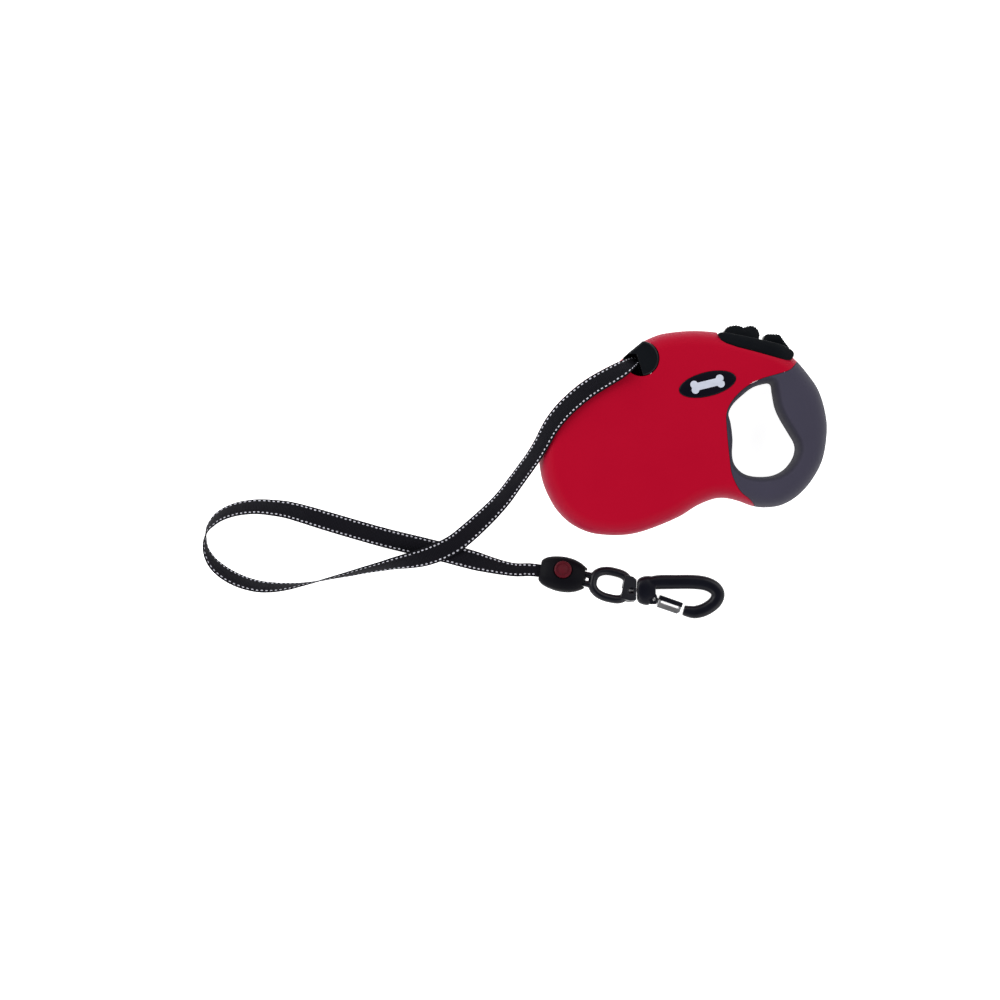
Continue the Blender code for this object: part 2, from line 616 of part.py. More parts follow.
def ratchet():
    """A ring with saw teeth round its outside."""
    pitch = 2 * math.pi / RATCHET_TEETH
    middle = math.radians(RATCHET_GAP_ANGLE)
    outer = []
    for k in range(RATCHET_TEETH):
        base = middle + k * pitch
        for share, radius in ((-0.28, RATCHET_ROOT), (0.28, RATCHET_ROOT), (0.40, RATCHET_TIP), (0.60, RATCHET_TIP)):
            angle = base + share * pitch
            outer.append(REEL + Vector((math.cos(angle), math.sin(angle))) * radius)
    size = len(outer)
    inner = [REEL + (p - REEL).normalized() * 30.4 for p in outer]
    low, high = 17.6, 20.7
    points = level(outer, low) + level(outer, high) + level(inner, low) + level(inner, high)
    faces = []
    for i in range(size):
        j = (i + 1) % size
        faces += [(i, j, size + j, size + i), (2 * size + i, 2 * size + j, 3 * size + j, 3 * size + i),
                  (size + i, size + j, 3 * size + j, 3 * size + i), (i, j, 2 * size + j, 2 * size + i)]
    return points, faces


def make_power_spring(looks):
    """A flat spiral strip between the arbor and the drum's barrel."""
    turns, first, last, steps = 4.0, 6.2, 26.6, 88
    path = []
    for i in range(steps + 1):
        share = i / steps
        radius = first + (last - first) * share
        angle = 2 * math.pi * turns * share + math.pi
        path.append(REEL + Vector((math.cos(angle), math.sin(angle))) * radius)
    path = [REEL + Vector((-2.4, 0.0)), REEL + Vector((-5.4, 0.0))] + path[2:]
    left, right = [], []
    for i, p in enumerate(path):
        along = path[min(i + 1, len(path) - 1)] - path[max(i - 1, 0)]
        across = Vector((-along.y, along.x)).normalized() * 0.25
        left.append(p + across)
        right.append(p - across)
    rings = [[Vector((*a, 8.0)), Vector((*b, 8.0)), Vector((*b, 18.2)), Vector((*a, 18.2))] for a, b in zip(left, right)]
    new_object("power_spring", *loft(rings), looks["steel"])


def make_brake(looks):
    bezel = uv_prism("brake_bezel", BEZEL_EDGE, 3.2, THICKNESS - 2.2, looks["black"])
    boolean(bezel, helper(uv_box("button_window", -27.9, -1.3, -6, 12, MID - 11.4, MID + 11.4, looks["black"])))
    boolean(bezel, helper(uv_box("lock_window", -2.5, 9.8, -6, 12, MID - 4.6, MID + 4.6, looks["black"])))

    sliding = axis_empty("brake_axis", (*uv_point(-13.0, 0.0), MID))
    profile = [(-27.4, 2.2)] + BUTTON_TOP + [(-1.8, 2.2)]
    button = uv_prism("brake_button", profile, MID - 11, MID + 11, looks["black"], sliding)
    for name, v0, v1 in (("free_notch", 3.6, 6.2), ("locked_notch", 7.6, 10.2)):
        boolean(button, helper(uv_box(name, -5.6, 0, v0, v1, MID - 5, MID + 5, looks["black"])))
    stem = [(-18.1, 1.8), (-7.9, 1.8), (-7.9, -17.5), (-18.1, -13.0)]
    arm = [(-18.1, -9.0), (-7.9, -9.0), (-7.9, -17.5), (-43.2, -40.7), (-45.8, -42.6), (-48.0, -40.4), (-44.6, -36.6)]
    tip = [(-43.7, -38.6), (-44.6, -41.6), (-48.1, -46.0), (-49.7, -45.0), (-47.4, -39.6)]
    pawl = uv_prism("brake_pawl", stem, 12.0, 28.0, looks["inner"], sliding)
    boolean(pawl, helper(uv_prism("pawl_arm", arm, 12.0, 20.4, looks["inner"])), "UNION")
    boolean(pawl, helper(uv_prism("pawl_tip", tip, 17.8, 20.4, looks["inner"])), "UNION")

    locking = axis_empty("lock_axis", (*uv_point(6.0, 5.0), MID))
    lock = uv_prism("brake_lock", LOCK_TOP, MID - 10, MID + 10, looks["black"], locking)
    boolean(lock, helper(uv_box("lock_stem", 2.4, 8.0, 4.2, 9.0, MID - 4, MID + 4, looks["black"])), "UNION")
    boolean(lock, helper(uv_box("lock_tongue", -1.0, 8.0, 4.2, 5.6, MID - 4, MID + 4, looks["black"])), "UNION")
    make_return_spring(looks)


def make_return_spring(looks):
    turns, radius, wire, per_turn = 5, 2.0, 0.3, 10
    low, high = -10.9, 1.7
    path = []
    for i in range(turns * per_turn + 1):
        angle = 2 * math.pi * i / per_turn
        middle = uv_point(-25.2 + radius * math.cos(angle), low + (high - low) * i / (turns * per_turn))
        path.append(Vector((*middle, 20.0 + radius * math.sin(angle))))
    tube("brake_return_spring", path, wire, looks["steel"], sides=5)


def make_tapes(looks):
    route = tape_points(TAPE_RINGS)
    halves = tape_half_widths(TAPE_RINGS)
    thick = [TAPE_THICKNESS / 2] * TAPE_RINGS
    strip("leash_tape", route, halves, thick, thick, looks["tape"])
    run = inner_run()
    half = [TAPE_THICKNESS / 2] * len(run)
    strip("tape_inner_run", run, [TAPE_WIDTH / 2] * len(run), half, half, looks["tape"])


def collar_frame():
    return frame_along(COLLAR, (math.cos(COLLAR_YAW), math.sin(COLLAR_YAW), 0), COLLAR_ROLL)


def button_frame():
    """The collar button's own frame, with X out of the collar's upper face."""
    return collar_frame() @ Matrix.Translation((-1.0, 1.8, 0)) @ Matrix.Rotation(-math.pi / 2, 4, "Y")


COLLAR_SECTIONS = [
    (-17.0, 7.0, 3.4), (-15.5, 8.8, 4.6), (-12.0, 10.8, 6.0), (-6.0, 12.3, 7.2), (0.0, 12.8, 7.6), (6.0, 12.2, 7.3),
    (11.0, 10.6, 6.5), (14.6, 8.6, 5.4), (16.6, 7.2, 4.4),
]


def squircle(wide, high, count=20, power=2.5):
    """A rounded-rectangle-like oval."""
    found = []
    for i in range(count):
        angle = 2 * math.pi * (i + 0.5) / count
        c, s = math.cos(angle), math.sin(angle)
        found.append((wide * math.copysign(abs(c) ** (2 / power), c), high * math.copysign(abs(s) ** (2 / power), s)))
    return found


def make_collar(looks):
    frame = collar_frame()
    rings = [placed(frame, [(x, y, z) for y, z in squircle(wide, high)]) for x, wide, high in COLLAR_SECTIONS]
    collar = new_object("end_collar", *loft(rings), looks["black"])
    half = TAPE_WIDTH / 2 * TAPE_END_WIDTH
    boolean(collar, helper(box("tape_slot", frame, (-20, -half - 1.0, -1.3), (-8, half + 1.0, 1.3), looks["black"])))
    pin = frame.inverted() @ LINK_START
    sideways = frame @ Matrix.Translation(pin) @ Matrix.Rotation(math.pi / 2, 4, "Z")
    boolean(collar, helper(rod("bar_room", sideways, [(-7.4, 2.6), (7.4, 2.6)], looks["black"], count=14)))
    for name, y0, y1 in (("prong_room_a", 1.7, 6.5), ("prong_room_b", -6.5, -1.7)):
        fan = [(pin.x - 0.6, -2.5), (pin.x + 9.0, -9.4), (pin.x + 9.0, 9.4), (pin.x - 0.6, 2.5)]
        rings = [placed(frame, [(x, y + pin.y, z + pin.z) for x, z in fan]) for y in (y0, y1)]
        boolean(collar, helper(new_object(name, *loft(rings), looks["black"])))
    boolean(collar, helper(rod("button_room", button_frame(), [(6.2, 6.6), (12, 6.6)], looks["black"], count=20)))
    rod("collar_button", button_frame(), [(6.5, 6.2), (8.3, 6.2), (9.0, 5.0)], looks["button"], count=20)


def link_frame():
    return frame_along(LINK_START, LINK_END - LINK_START, COLLAR_ROLL)


def make_link(looks):
    frame = link_frame()
    swinging = axis_empty("link_axis", LINK_START)
    path = []
    for i in range(30):
        angle = 2 * math.pi * i / 30
        c, s = math.cos(angle), math.sin(angle)
        x = 22.4 + 12.8 * (abs(c) ** 0.6 if c > 0 else -abs(c))
        y = 9.8 * math.copysign(abs(s) ** (0.62 if c > 0 else 0.8), s)
        path.append(frame @ Vector((x, y, 0)))
    link = tube("link_ring", path, 2.9, looks["hook"], swinging, sides=8, closed=True)
    boolean(link, helper(rod("link_bar", frame @ Matrix.Rotation(math.pi / 2, 4, "Z"),
                             [(-6.6, 2.2), (6.6, 2.2)], looks["hook"])), "UNION")
    for name, y in (("link_prong_a", 4.0), ("link_prong_b", -4.0)):
        prong = rod(name, frame @ Matrix.Translation((0, y, 0)), [(-0.6, 1.7), (12.6, 1.9)], looks["hook"], count=8)
        boolean(link, helper(prong), "UNION")
    # The end face is square to the hook's swivel axis, not to the link.
    boss = [(32.2, -8.3), (38.6, -8.4), (42.4, -6.8), (39.8, 6.6), (36.6, 8.4), (32.2, 8.3)]
    rings = [placed(frame, [(x, y, z) for x, y in boss]) for z in (-4.0, 4.0)]
    boolean(link, helper(new_object("link_boss", *loft(rings), looks["hook"])), "UNION")
    stud = Matrix.Translation(HOOK)
    boolean(link, helper(rod("stud_bore", stud, [(-12.0, 3.1), (-4.3, 3.1), (-4.3, 2.1), (2.0, 2.1)], looks["hook"],
                             count=12)))
    boolean(link, helper(box("stud_window", stud, (-5.4, -1.3, 0.5), (-2.6, 1.3, 12), looks["hook"])))


def make_hook(looks):
    frame = Matrix.Translation(HOOK)
    turning = axis_empty("hook_axis", HOOK)
    rod("swivel_rivet", frame, [(-7.4, 1.8), (-6.6, 2.6), (-4.7, 2.6), (-4.7, 1.7), (5.6, 1.7)], looks["steel"], turning,
        12)
    bell = [(0.0, 6.0, 3.9), (1.0, 8.2, 4.6), (3.5, 9.9, 5.0), (7.0, 10.6, 5.0), (10.5, 10.4, 4.6), (13.4, 9.4, 4.2)]
    rings = [placed(frame, [(x, y, z) for y, z in squircle(wide, high, 18)]) for x, wide, high in bell]
    hook = new_object("hook_body", *loft(rings), looks["hook"], turning)
    boolean(hook, helper(new_object("hook_arm", *hook_arm(), looks["hook"])), "UNION")
    boolean(hook, helper(rod("rivet_hole", frame, [(-3, 2.0), (6.2, 2.0)], looks["hook"], count=12)))
    ear = Matrix.Translation(GATE_PIVOT)
    ears = [(-3.4, -3.6), (1.6, -3.6), (2.6, 0.0), (1.6, 3.4), (-3.4, 3.4)]
    rings = [placed(ear, [(x, y, z) for x, y in ears]) for z in (-4.2, 4.2)]
    boolean(hook, helper(new_object("gate_ears", *loft(rings), looks["hook"])), "UNION")
    boolean(hook, helper(box("ear_slot", ear, (-3.8, -7.0, -2.4), (8, 7.0, 2.4), looks["hook"])))
    boolean(hook, helper(stacked("gate_pin_hole", [(1.15, -3.0), (1.15, 15.0)], GATE_PIVOT, looks["hook"])))
    stacked("gate_pin", [(0.85, GATE_PIVOT.z - 3.9), (0.85, GATE_PIVOT.z + 3.9)], GATE_PIVOT, looks["steel"], turning, 10)
    make_gate(looks)


def hook_arm():
    """The spine and the curved nose, ending at the gate: centre x, y and half width, all at the hook's height."""
    line = [
        (-23.0, -109.6, 4.6), (-16.0, -108.7, 5.2), (-4.0, -108.6, 5.2), (8.0, -108.6, 5.2), (17.4, -109.7, 5.1),
        (24.0, -112.9, 5.0), (26.6, -117.6, 4.9), (24.4, -123.2, 4.8), (18.0, -128.0, 4.8), (10.8, -130.3, 4.7),
        (5.6, -129.9, 4.3), (1.7, -128.9, 3.7),
    ]
    path = spline([(x, y, half, 0.0) for x, y, half in line], False, 24)
    rings = []
    for i, p in enumerate(path):
        along = Vector(path[min(i + 1, 23)][:2]) - Vector(path[max(i - 1, 0)][:2])
        across = Vector((-along.y, along.x, 0)).normalized()
        middle = Vector((p[0], p[1], HOOK.z))
        rings.append([middle + across * a + Vector((0, 0, b)) for a, b in squircle(p[2], 4.2, 12)])
    return loft(rings)


def make_gate(looks):
    frame = frame_along(GATE_PIVOT, (math.cos(GATE_YAW), math.sin(GATE_YAW), 0))
    opening = axis_empty("gate_axis", GATE_PIVOT)
    loop = [(3.2, -4.8), (18.6, -4.8), (20.4, -3.0), (20.4, 4.1), (3.2, 4.1)]
    rings = [placed(frame, [(x, y, z) for x, y in loop]) for z in (-3.8, 3.8)]
    gate = new_object("hook_gate", *loft(rings), looks["steel"], opening)
    boolean(gate, helper(box("gate_root", frame, (-1.9, -1.9, -1.2), (5.0, 1.9, 1.2), looks["steel"])), "UNION")
    boolean(gate, helper(box("gate_slot", frame, (5.2, -0.6, -9), (18.2, 0.6, 9), looks["steel"])))
    boolean(gate, helper(stacked("gate_eye", [(1.15, -3.0), (1.15, 15.0)], GATE_PIVOT, looks["steel"])))
    path = []
    for i in range(21):
        angle = 2 * math.pi * i / 10
        path.append(GATE_PIVOT + Vector((1.6 * math.cos(angle), 1.6 * math.sin(angle), 1.45 + 0.035 * i)))
    tube("gate_spring", path, 0.2, looks["steel"], sides=5)


def main():
    clear_scene()
    looks = make_looks()
    make_shells(looks)
    make_screws(looks)
    make_grips(looks)
    make_badges(looks)
    make_nozzle(looks)
    make_reel(looks)
    make_brake(looks)
    make_tapes(looks)
    make_collar(looks)
    make_link(looks)
    make_hook(looks)


main()
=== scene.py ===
"""Looks for the retractable tape leash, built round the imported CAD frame. Sizes are in millimetres."""

import json
import math

import bmesh
import bpy
from mathutils import Matrix, Vector
from mathutils.geometry import tessellate_polygon

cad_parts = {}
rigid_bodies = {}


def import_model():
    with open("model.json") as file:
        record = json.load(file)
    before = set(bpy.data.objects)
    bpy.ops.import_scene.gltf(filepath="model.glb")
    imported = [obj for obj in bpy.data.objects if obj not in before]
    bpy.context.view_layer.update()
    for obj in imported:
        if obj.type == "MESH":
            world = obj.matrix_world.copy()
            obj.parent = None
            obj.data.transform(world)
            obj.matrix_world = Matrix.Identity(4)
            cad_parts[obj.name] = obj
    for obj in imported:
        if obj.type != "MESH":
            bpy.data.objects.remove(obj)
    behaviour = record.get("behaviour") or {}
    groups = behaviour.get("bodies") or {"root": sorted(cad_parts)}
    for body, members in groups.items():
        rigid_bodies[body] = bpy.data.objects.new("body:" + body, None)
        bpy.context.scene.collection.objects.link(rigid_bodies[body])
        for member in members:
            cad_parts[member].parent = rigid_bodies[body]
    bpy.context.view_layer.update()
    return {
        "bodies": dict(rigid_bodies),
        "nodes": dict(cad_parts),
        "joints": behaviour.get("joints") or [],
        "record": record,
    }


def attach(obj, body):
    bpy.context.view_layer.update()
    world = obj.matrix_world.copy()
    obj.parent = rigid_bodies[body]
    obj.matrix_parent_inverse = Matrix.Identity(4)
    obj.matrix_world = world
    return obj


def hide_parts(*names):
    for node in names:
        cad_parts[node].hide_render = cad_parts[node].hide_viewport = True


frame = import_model()

MM = 0.001

# Driving dimensions, millimetres.
THICKNESS = 44.0
MID = THICKNESS / 2
GAP = 0.3
WALL = 2.6
RIM_OUTER = 12.0
RIM_HOLE = 5.0
RIM_POWER = 2.4
SQUIRCLE = 2.5  # 2 would be an ellipse
THROUGH = (-5.0, THICKNESS + 5.0)  # a cutter's ends, past both faces of the housing

REEL = Vector((-40.5, -15.0))
NOZZLE = Vector((-30.4, 50.5))
NOZZLE_RADIUS = 12.4

TAPE_WIDTH = 14.0
TAPE_THICKNESS = 1.0  # in the CAD, which sets the route's heights
TAPE_HALF = 0.42  # half the thickness of the visible tape
TAPE_Z = 30.8
WOUND_OUTER = 46.3

BRAKE = Vector((53.6, 56.1))
BRAKE_SLOPE = math.radians(-12.0)

COLLAR = Vector((-85.0, -103.1, 9.3))
COLLAR_YAW = math.radians(-11.0)
COLLAR_ROLL = math.radians(14.0)
LINK_START = Vector((-72.95, -105.45, 9.0))
LINK_END = Vector((-33.0, -114.8, 5.7))
HOOK = Vector((-31.8, -114.8, 5.4))
GATE_PIVOT = Vector((-19.5, -121.0, 5.4))
GATE_YAW = math.radians(-19.0)

# The housing seen from above, clockwise from the nozzle.
OUTLINE = [
    (-41.8, 52.5), (-33.2, 60.6), (-20.4, 67.2), (-8.9, 69.9), (8.2, 71.1), (25.4, 69.8), (41.0, 66.4),
    (58.9, 61.1), (69.6, 56.8), (78.9, 51.4), (88.2, 41.1), (96.8, 28.2), (101.8, 11.1), (102.5, -3.2),
    (99.6, -20.4), (92.5, -34.6), (82.5, -46.1), (71.1, -53.0), (59.6, -55.0), (50.0, -54.0), (41.1, -50.8),
    (33.9, -48.8), (26.8, -48.2), (19.6, -49.6), (9.6, -53.9), (-1.8, -61.1), (-16.1, -67.5), (-30.4, -72.5),
    (-42.0, -74.6), (-54.6, -74.6), (-67.5, -72.5), (-80.4, -66.1), (-90.4, -56.1), (-97.5, -43.2),
    (-101.1, -31.8), (-102.5, -18.5), (-101.1, -5.1), (-97.5, 5.4), (-90.4, 16.8), (-80.4, 27.5),
    (-67.5, 36.8), (-56.1, 43.2), (-47.5, 47.6),
]
# The hand hole, egg shaped, with finger grooves on the grip side.
HAND_HOLE = [
    (62.6, 33.2), (55.4, 32.6), (48.2, 29.6), (41.1, 23.9), (35.4, 18.2), (32.4, 11.8), (33.9, 5.0),
    (35.2, -6.1), (34.9, -17.5), (36.8, -24.6), (42.5, -30.4), (51.1, -32.9), (62.5, -32.5), (71.1, -28.9),
    (76.8, -23.2), (80.2, -16.1), (80.0, -9.4), (75.4, -1.2), (69.8, 8.2), (66.1, 16.8), (64.2, 26.5),
]
# The soft grip's outer edge, running past the housing's outline on the right.
GRIP_EDGE = [
    (88.0, 57.0), (84.4, 53.0), (79.6, 47.6), (74.6, 42.6), (67.5, 40.0), (61.8, 38.4), (54.6, 36.2),
    (46.8, 32.5), (39.6, 27.2), (33.2, 19.8), (29.8, 11.8), (29.8, 1.8), (31.6, -17.5), (33.7, -31.8),
    (39.4, -43.0), (46.4, -48.9), (51.0, -54.2), (54.5, -60.0), (75.0, -64.0), (100.0, -48.0),
    (112.0, -20.0), (113.0, 10.0), (106.0, 38.0), (96.0, 54.0),
]
# The hollow inside the front of the housing.
CAVITY = [
    (-44.4, 46.3), (-34.0, 54.0), (-18.6, 64.6), (-8.5, 67.2), (8.2, 68.4), (25.0, 67.2), (40.3, 63.8),
    (57.6, 58.8), (68.0, 54.2), (72.0, 50.4), (69.0, 45.8), (61.5, 42.0), (53.6, 39.6), (45.0, 35.6),
    (37.3, 29.9), (30.6, 21.4), (26.9, 12.6), (26.8, 1.6), (28.8, -17.2), (30.6, -31.4), (31.0, -40.5),
    (26.0, -45.4), (18.9, -46.9), (8.4, -51.4), (-3.0, -58.7), (-17.0, -65.0), (-31.0, -69.9),
    (-42.0, -72.0), (-54.4, -72.0), (-66.6, -70.0), (-78.8, -64.0), (-88.3, -54.5), (-95.0, -42.0),
    (-98.5, -31.0), (-99.9, -18.0), (-98.5, -6.0), (-95.1, 4.2), (-88.4, 15.1), (-78.8, 25.4),
    (-66.2, 34.5), (-54.8, 40.9),
]

# The five case screws: three in the shells, then two in the grip.
SCREWS = [(-8.0, 57.0), (15.5, 4.0), (12.0, -43.5), (86.0, 15.0), (82.0, -34.5)]

BADGE = (16.2, 32.2)
BADGE_SIZE = (41.0, 16.8)
BADGE_ANGLE = math.radians(13.7)

# The brake seen from above, as (u, v) of uv_point.
BEZEL_EDGE = [
    (-31.4, 5.0), (-28.5, 1.6), (-24.5, 0.2), (-16.0, -0.8), (-5.5, -1.2), (4.0, -1.7), (13.0, -2.3),
    (19.4, -2.6), (22.8, -1.4), (24.1, 1.2), (22.6, 4.6), (14.5, 7.2), (2.0, 7.8), (-10.0, 7.8),
    (-22.0, 7.6), (-29.5, 7.0),
]
BEZEL_CUT = BEZEL_EDGE[:10] + [(24.1, 14.0), (-31.6, 14.0)]
BUTTON_TOP = [
    (-27.4, 7.6), (-26.2, 10.6), (-23.6, 13.0), (-19.4, 14.5), (-16.2, 14.5), (-14.0, 14.0), (-12.0, 15.2),
    (-9.2, 16.4), (-6.2, 16.0), (-3.4, 14.0), (-1.9, 11.4),
]
LOCK_TOP = [
    (1.7, 8.3), (1.9, 11.8), (4.0, 13.2), (11.2, 14.4), (13.0, 13.5), (17.0, 9.8), (20.6, 7.0), (15.0, 8.0),
]

# The collar along its own X axis: x, half width, half height.
COLLAR_SECTIONS = [
    (-17.0, 7.0, 3.4), (-15.5, 8.8, 4.6), (-12.0, 10.8, 6.0), (-6.0, 12.3, 7.2), (0.0, 12.8, 7.6),
    (6.0, 12.2, 7.3), (11.0, 10.6, 6.5), (14.6, 8.6, 5.4), (16.6, 7.2, 4.4),
]

# The free tape from the nozzle to the collar: x, y, roll in degrees, height added above the surface.
# Roll 0 is flat, 90 stands on edge with its right-hand side up.
TAPE_ROUTE = [
    (-28.2, 49.1, -83.0, 25.6), (-32.4, 49.3, -73.0, 27.5), (-36.2, 47.9, -57.0, 32.6),
    (-40.7, 45.1, -44.0, 39.9), (-45.1, 42.4, -33.0, 41.0), (-51.8, 38.6, -25.0, 41.2),
    (-58.9, 34.6, -21.0, 41.7), (-67.0, 29.6, -20.0, 41.8), (-75.1, 23.4, -21.0, 41.6),
    (-83.4, 15.9, -24.0, 41.0), (-90.1, 8.4, -28.0, 39.9), (-95.6, 0.4, -33.0, 38.2),
    (-100.8, -9.3, -38.0, 35.4), (-106.4, -18.6, -39.0, 30.2), (-113.2, -28.2, -38.0, 23.2),
    (-120.0, -37.5, -36.0, 15.8), (-127.4, -47.5, -32.0, 9.4), (-135.4, -56.4, -26.0, 4.6),
    (-144.6, -65.4, -17.0, 2.4), (-154.1, -73.9, -8.0, 2.2), (-163.2, -81.1, 0.0, 2.2),
    (-173.2, -86.4, 6.0, 1.8), (-183.9, -90.4, 18.0, 1.0), (-194.6, -93.0, 34.0, 0.3),
    (-205.6, -95.0, 50.0, 0.0), (-216.1, -97.4, 61.0, 0.0), (-226.9, -99.8, 69.0, 0.0),
    (-237.5, -102.4, 75.0, 0.0), (-251.8, -105.7, 84.0, 0.0), (-262.5, -108.3, 90.0, 0.0),
    (-273.2, -110.4, 98.0, 0.0), (-282.0, -111.7, 107.0, 0.0), (-293.0, -112.4, 117.0, 0.0),
    (-304.6, -111.7, 124.0, 0.0), (-316.1, -108.6, 128.0, 0.0), (-326.4, -103.7, 128.0, 0.0),
    (-334.6, -97.5, 122.0, 0.0), (-339.6, -91.0, 111.0, 0.0), (-342.3, -84.1, 99.0, 0.0),
    (-342.6, -77.5, 90.0, 0.0), (-341.2, -71.2, 78.0, 0.0), (-337.9, -66.3, 67.0, 0.0),
    (-332.4, -61.3, 57.0, 0.0), (-324.6, -57.6, 50.0, 0.0), (-316.1, -55.4, 45.0, 0.0),
    (-305.4, -54.4, 41.0, 0.0), (-294.6, -55.1, 36.0, 0.0), (-283.9, -56.6, 30.0, 0.0),
    (-272.5, -59.6, 22.0, 0.0), (-256.0, -64.6, 12.0, 0.0), (-237.5, -70.1, 4.0, 0.0),
    (-216.1, -76.2, 0.0, 0.0), (-201.8, -79.8, 0.0, 0.0), (-187.5, -83.2, 0.0, 0.0),
    (-173.2, -86.8, 0.0, 0.0), (-162.0, -89.8, 3.0, 0.0), (-151.8, -92.5, 12.0, 0.0),
    (-141.1, -95.4, 24.0, 0.1), (-130.4, -98.0, 32.0, 0.9), (-119.5, -99.8, 33.0, 2.6),
    (-109.0, -99.7, 24.0, 5.6), (-101.4, -100.5, 14.0, 7.4),
]
# The tape inside the nozzle: x, y, z, roll. The passage round it: x, y, half width.
INNER_END = [(-22.6, 42.4, 30.9, -90.0), (-25.2, 46.2, 31.4, -88.0), (-27.4, 48.5, 32.3, -86.0)]
PASSAGE = [(-17.0, 34.5, 2.4), (-24.5, 45.6, 2.4), (-27.4, 48.6, 2.8), (-31.0, 49.6, 4.0), (-37.0, 49.0, 5.2)]
TAPE_REST_GAP = 0.2
TAPE_TAPER_FROM = 0.93
TAPE_END_WIDTH = 0.66
# The view: straight down, in millimetres.
VIEW_CENTRE = (-130.4, -49.6)
VIEW_WIDTH = 714.3
CAMERA_HEIGHT = 2000.0


def new_object(name, points, faces, look):
    """A mesh object from points in millimetres, with its origin at the frame's."""
    mesh = bpy.data.meshes.new(name)
    mesh.from_pydata([Vector(p) * MM for p in points], [], faces)
    work = bmesh.new()
    work.from_mesh(mesh)
    bmesh.ops.recalc_face_normals(work, faces=work.faces)
    work.to_mesh(mesh)
    work.free()
    mesh.materials.append(look)
    obj = bpy.data.objects.new(name, mesh)
    bpy.context.scene.collection.objects.link(obj)
    return obj


def helper(obj):
    """Marks an object as a Boolean's tool, which is removed at the end."""
    obj.hide_render = True
    obj["tool"] = True
    return obj


def boolean(obj, tool, operation="DIFFERENCE"):
    step = obj.modifiers.new(operation.title() + " " + tool.name, "BOOLEAN")
    step.operation = operation
    step.object = tool
    step.solver = "EXACT"


def spline(points, closed, count):
    """Evenly spaced points on a smooth curve through the given points, of any dimension."""
    known = [Vector(p) for p in points]
    size = len(known)
    spans = size if closed else size - 1

    def at(i):
        return known[i % size] if closed else known[min(max(i, 0), size - 1)]

    fine = []
    steps = 24
    for i in range(spans):
        a, b, c, d = at(i - 1), at(i), at(i + 1), at(i + 2)
        for k in range(steps):
            t = k / steps
            fine.append(0.5 * (2 * b + (c - a) * t + (2 * a - 5 * b + 4 * c - d) * t * t
                               + (3 * b - a - 3 * c + d) * t**3))
    fine.append(known[0] if closed else known[-1])
    travelled = [0.0]
    for p, q in zip(fine, fine[1:]):
        travelled.append(travelled[-1] + (Vector(q[:3]) - Vector(p[:3])).length)
    found = []
    k = 0
    for i in range(count):
        goal = travelled[-1] * i / (count if closed else count - 1)
        while k < len(fine) - 2 and travelled[k + 1] < goal:
            k += 1
        part = (goal - travelled[k]) / (travelled[k + 1] - travelled[k])
        found.append(fine[k].lerp(fine[k + 1], part))
    return found


def inset(loop, distance):
    """Moves a clockwise loop's points inwards, and an anticlockwise loop's outwards, by the distance."""
    moved = []
    for i, p in enumerate(loop):
        along = (loop[(i + 1) % len(loop)] - loop[i - 1]).normalized()
        moved.append(p + Vector((along.y, -along.x)) * distance)
    return moved


def loft(rings):
    """Points and faces of a closed solid through rings of the same size, with both ends capped."""
    size = len(rings[0])
    points = [p for ring in rings for p in ring]
    faces = []
    for k in range(len(rings) - 1):
        for i in range(size):
            j = (i + 1) % size
            faces.append((k * size + i, k * size + j, (k + 1) * size + j, (k + 1) * size + i))
    faces.append(tuple(range(size)))
    last = (len(rings) - 1) * size
    faces.append(tuple(last + i for i in range(size)))
    return points, faces


def level(loop, z):
    return [Vector((p[0], p[1], z)) for p in loop]


def prism(name, loop, low, high, look):
    return new_object(name, *loft([level(loop, low), level(loop, high)]), look)


def circle(centre, radius, count=32):
    return [
        Vector((centre[0] + radius * math.cos(2 * math.pi * i / count),
                centre[1] + radius * math.sin(2 * math.pi * i / count)))
        for i in range(count)
    ]


def stacked(name, steps, centre, look, count=12):
    """A solid round post from (radius, z) steps, bottom to top."""
    rings = [level(circle(centre, radius, count), z) for radius, z in steps]
    return new_object(name, *loft(rings), look)


def placed(frame, points):
    return [frame @ Vector(p) for p in points]


def frame_along(place, direction, roll=0.0):
    """A frame with X along the direction and Z up, then rolled about X so that -Y rises."""
    x = Vector(direction).normalized()
    y = Vector((0, 0, 1)).cross(x).normalized()
    z = x.cross(y)
    turn = Matrix.Rotation(-roll, 3, "X")
    basis = Matrix((x, y, z)).transposed() @ turn
    return Matrix.Translation(Vector(place)) @ basis.to_4x4()


def box_points(low, high):
    corners = [(low[0], low[1]), (high[0], low[1]), (high[0], high[1]), (low[0], high[1])]
    return [[(x, y, z) for x, y in corners] for z in (low[2], high[2])]


def box(name, frame, low, high, look):
    rings = [placed(frame, ring) for ring in box_points(low, high)]
    return new_object(name, *loft(rings), look)


def rod(name, frame, steps, look, count=10):
    """A round bar along the frame's X axis from (x, radius) steps."""
    rings = []
    for x, radius in steps:
        rings.append(placed(frame, [(x, p.x, p.y) for p in circle((0, 0), radius, count)]))
    return new_object(name, *loft(rings), look)


def tube(name, path, radius, look, sides, closed=False):
    """A wire of round section along a path."""
    rings = []
    for i, p in enumerate(path):
        if closed:
            along = path[(i + 1) % len(path)] - path[i - 1]
        else:
            along = path[min(i + 1, len(path) - 1)] - path[max(i - 1, 0)]
        side = Vector((0, 0, 1)).cross(along).normalized()
        up = along.normalized().cross(side)
        rings.append([p + (side * q.x + up * q.y) for q in circle((0, 0), radius, sides)])
    if not closed:
        return new_object(name, *loft(rings), look)
    points, faces = loft(rings)
    faces = faces[:-2]
    last = (len(rings) - 1) * sides
    for i in range(sides):
        j = (i + 1) % sides
        faces.append((last + i, last + j, j, i))
    return new_object(name, points, faces, look)


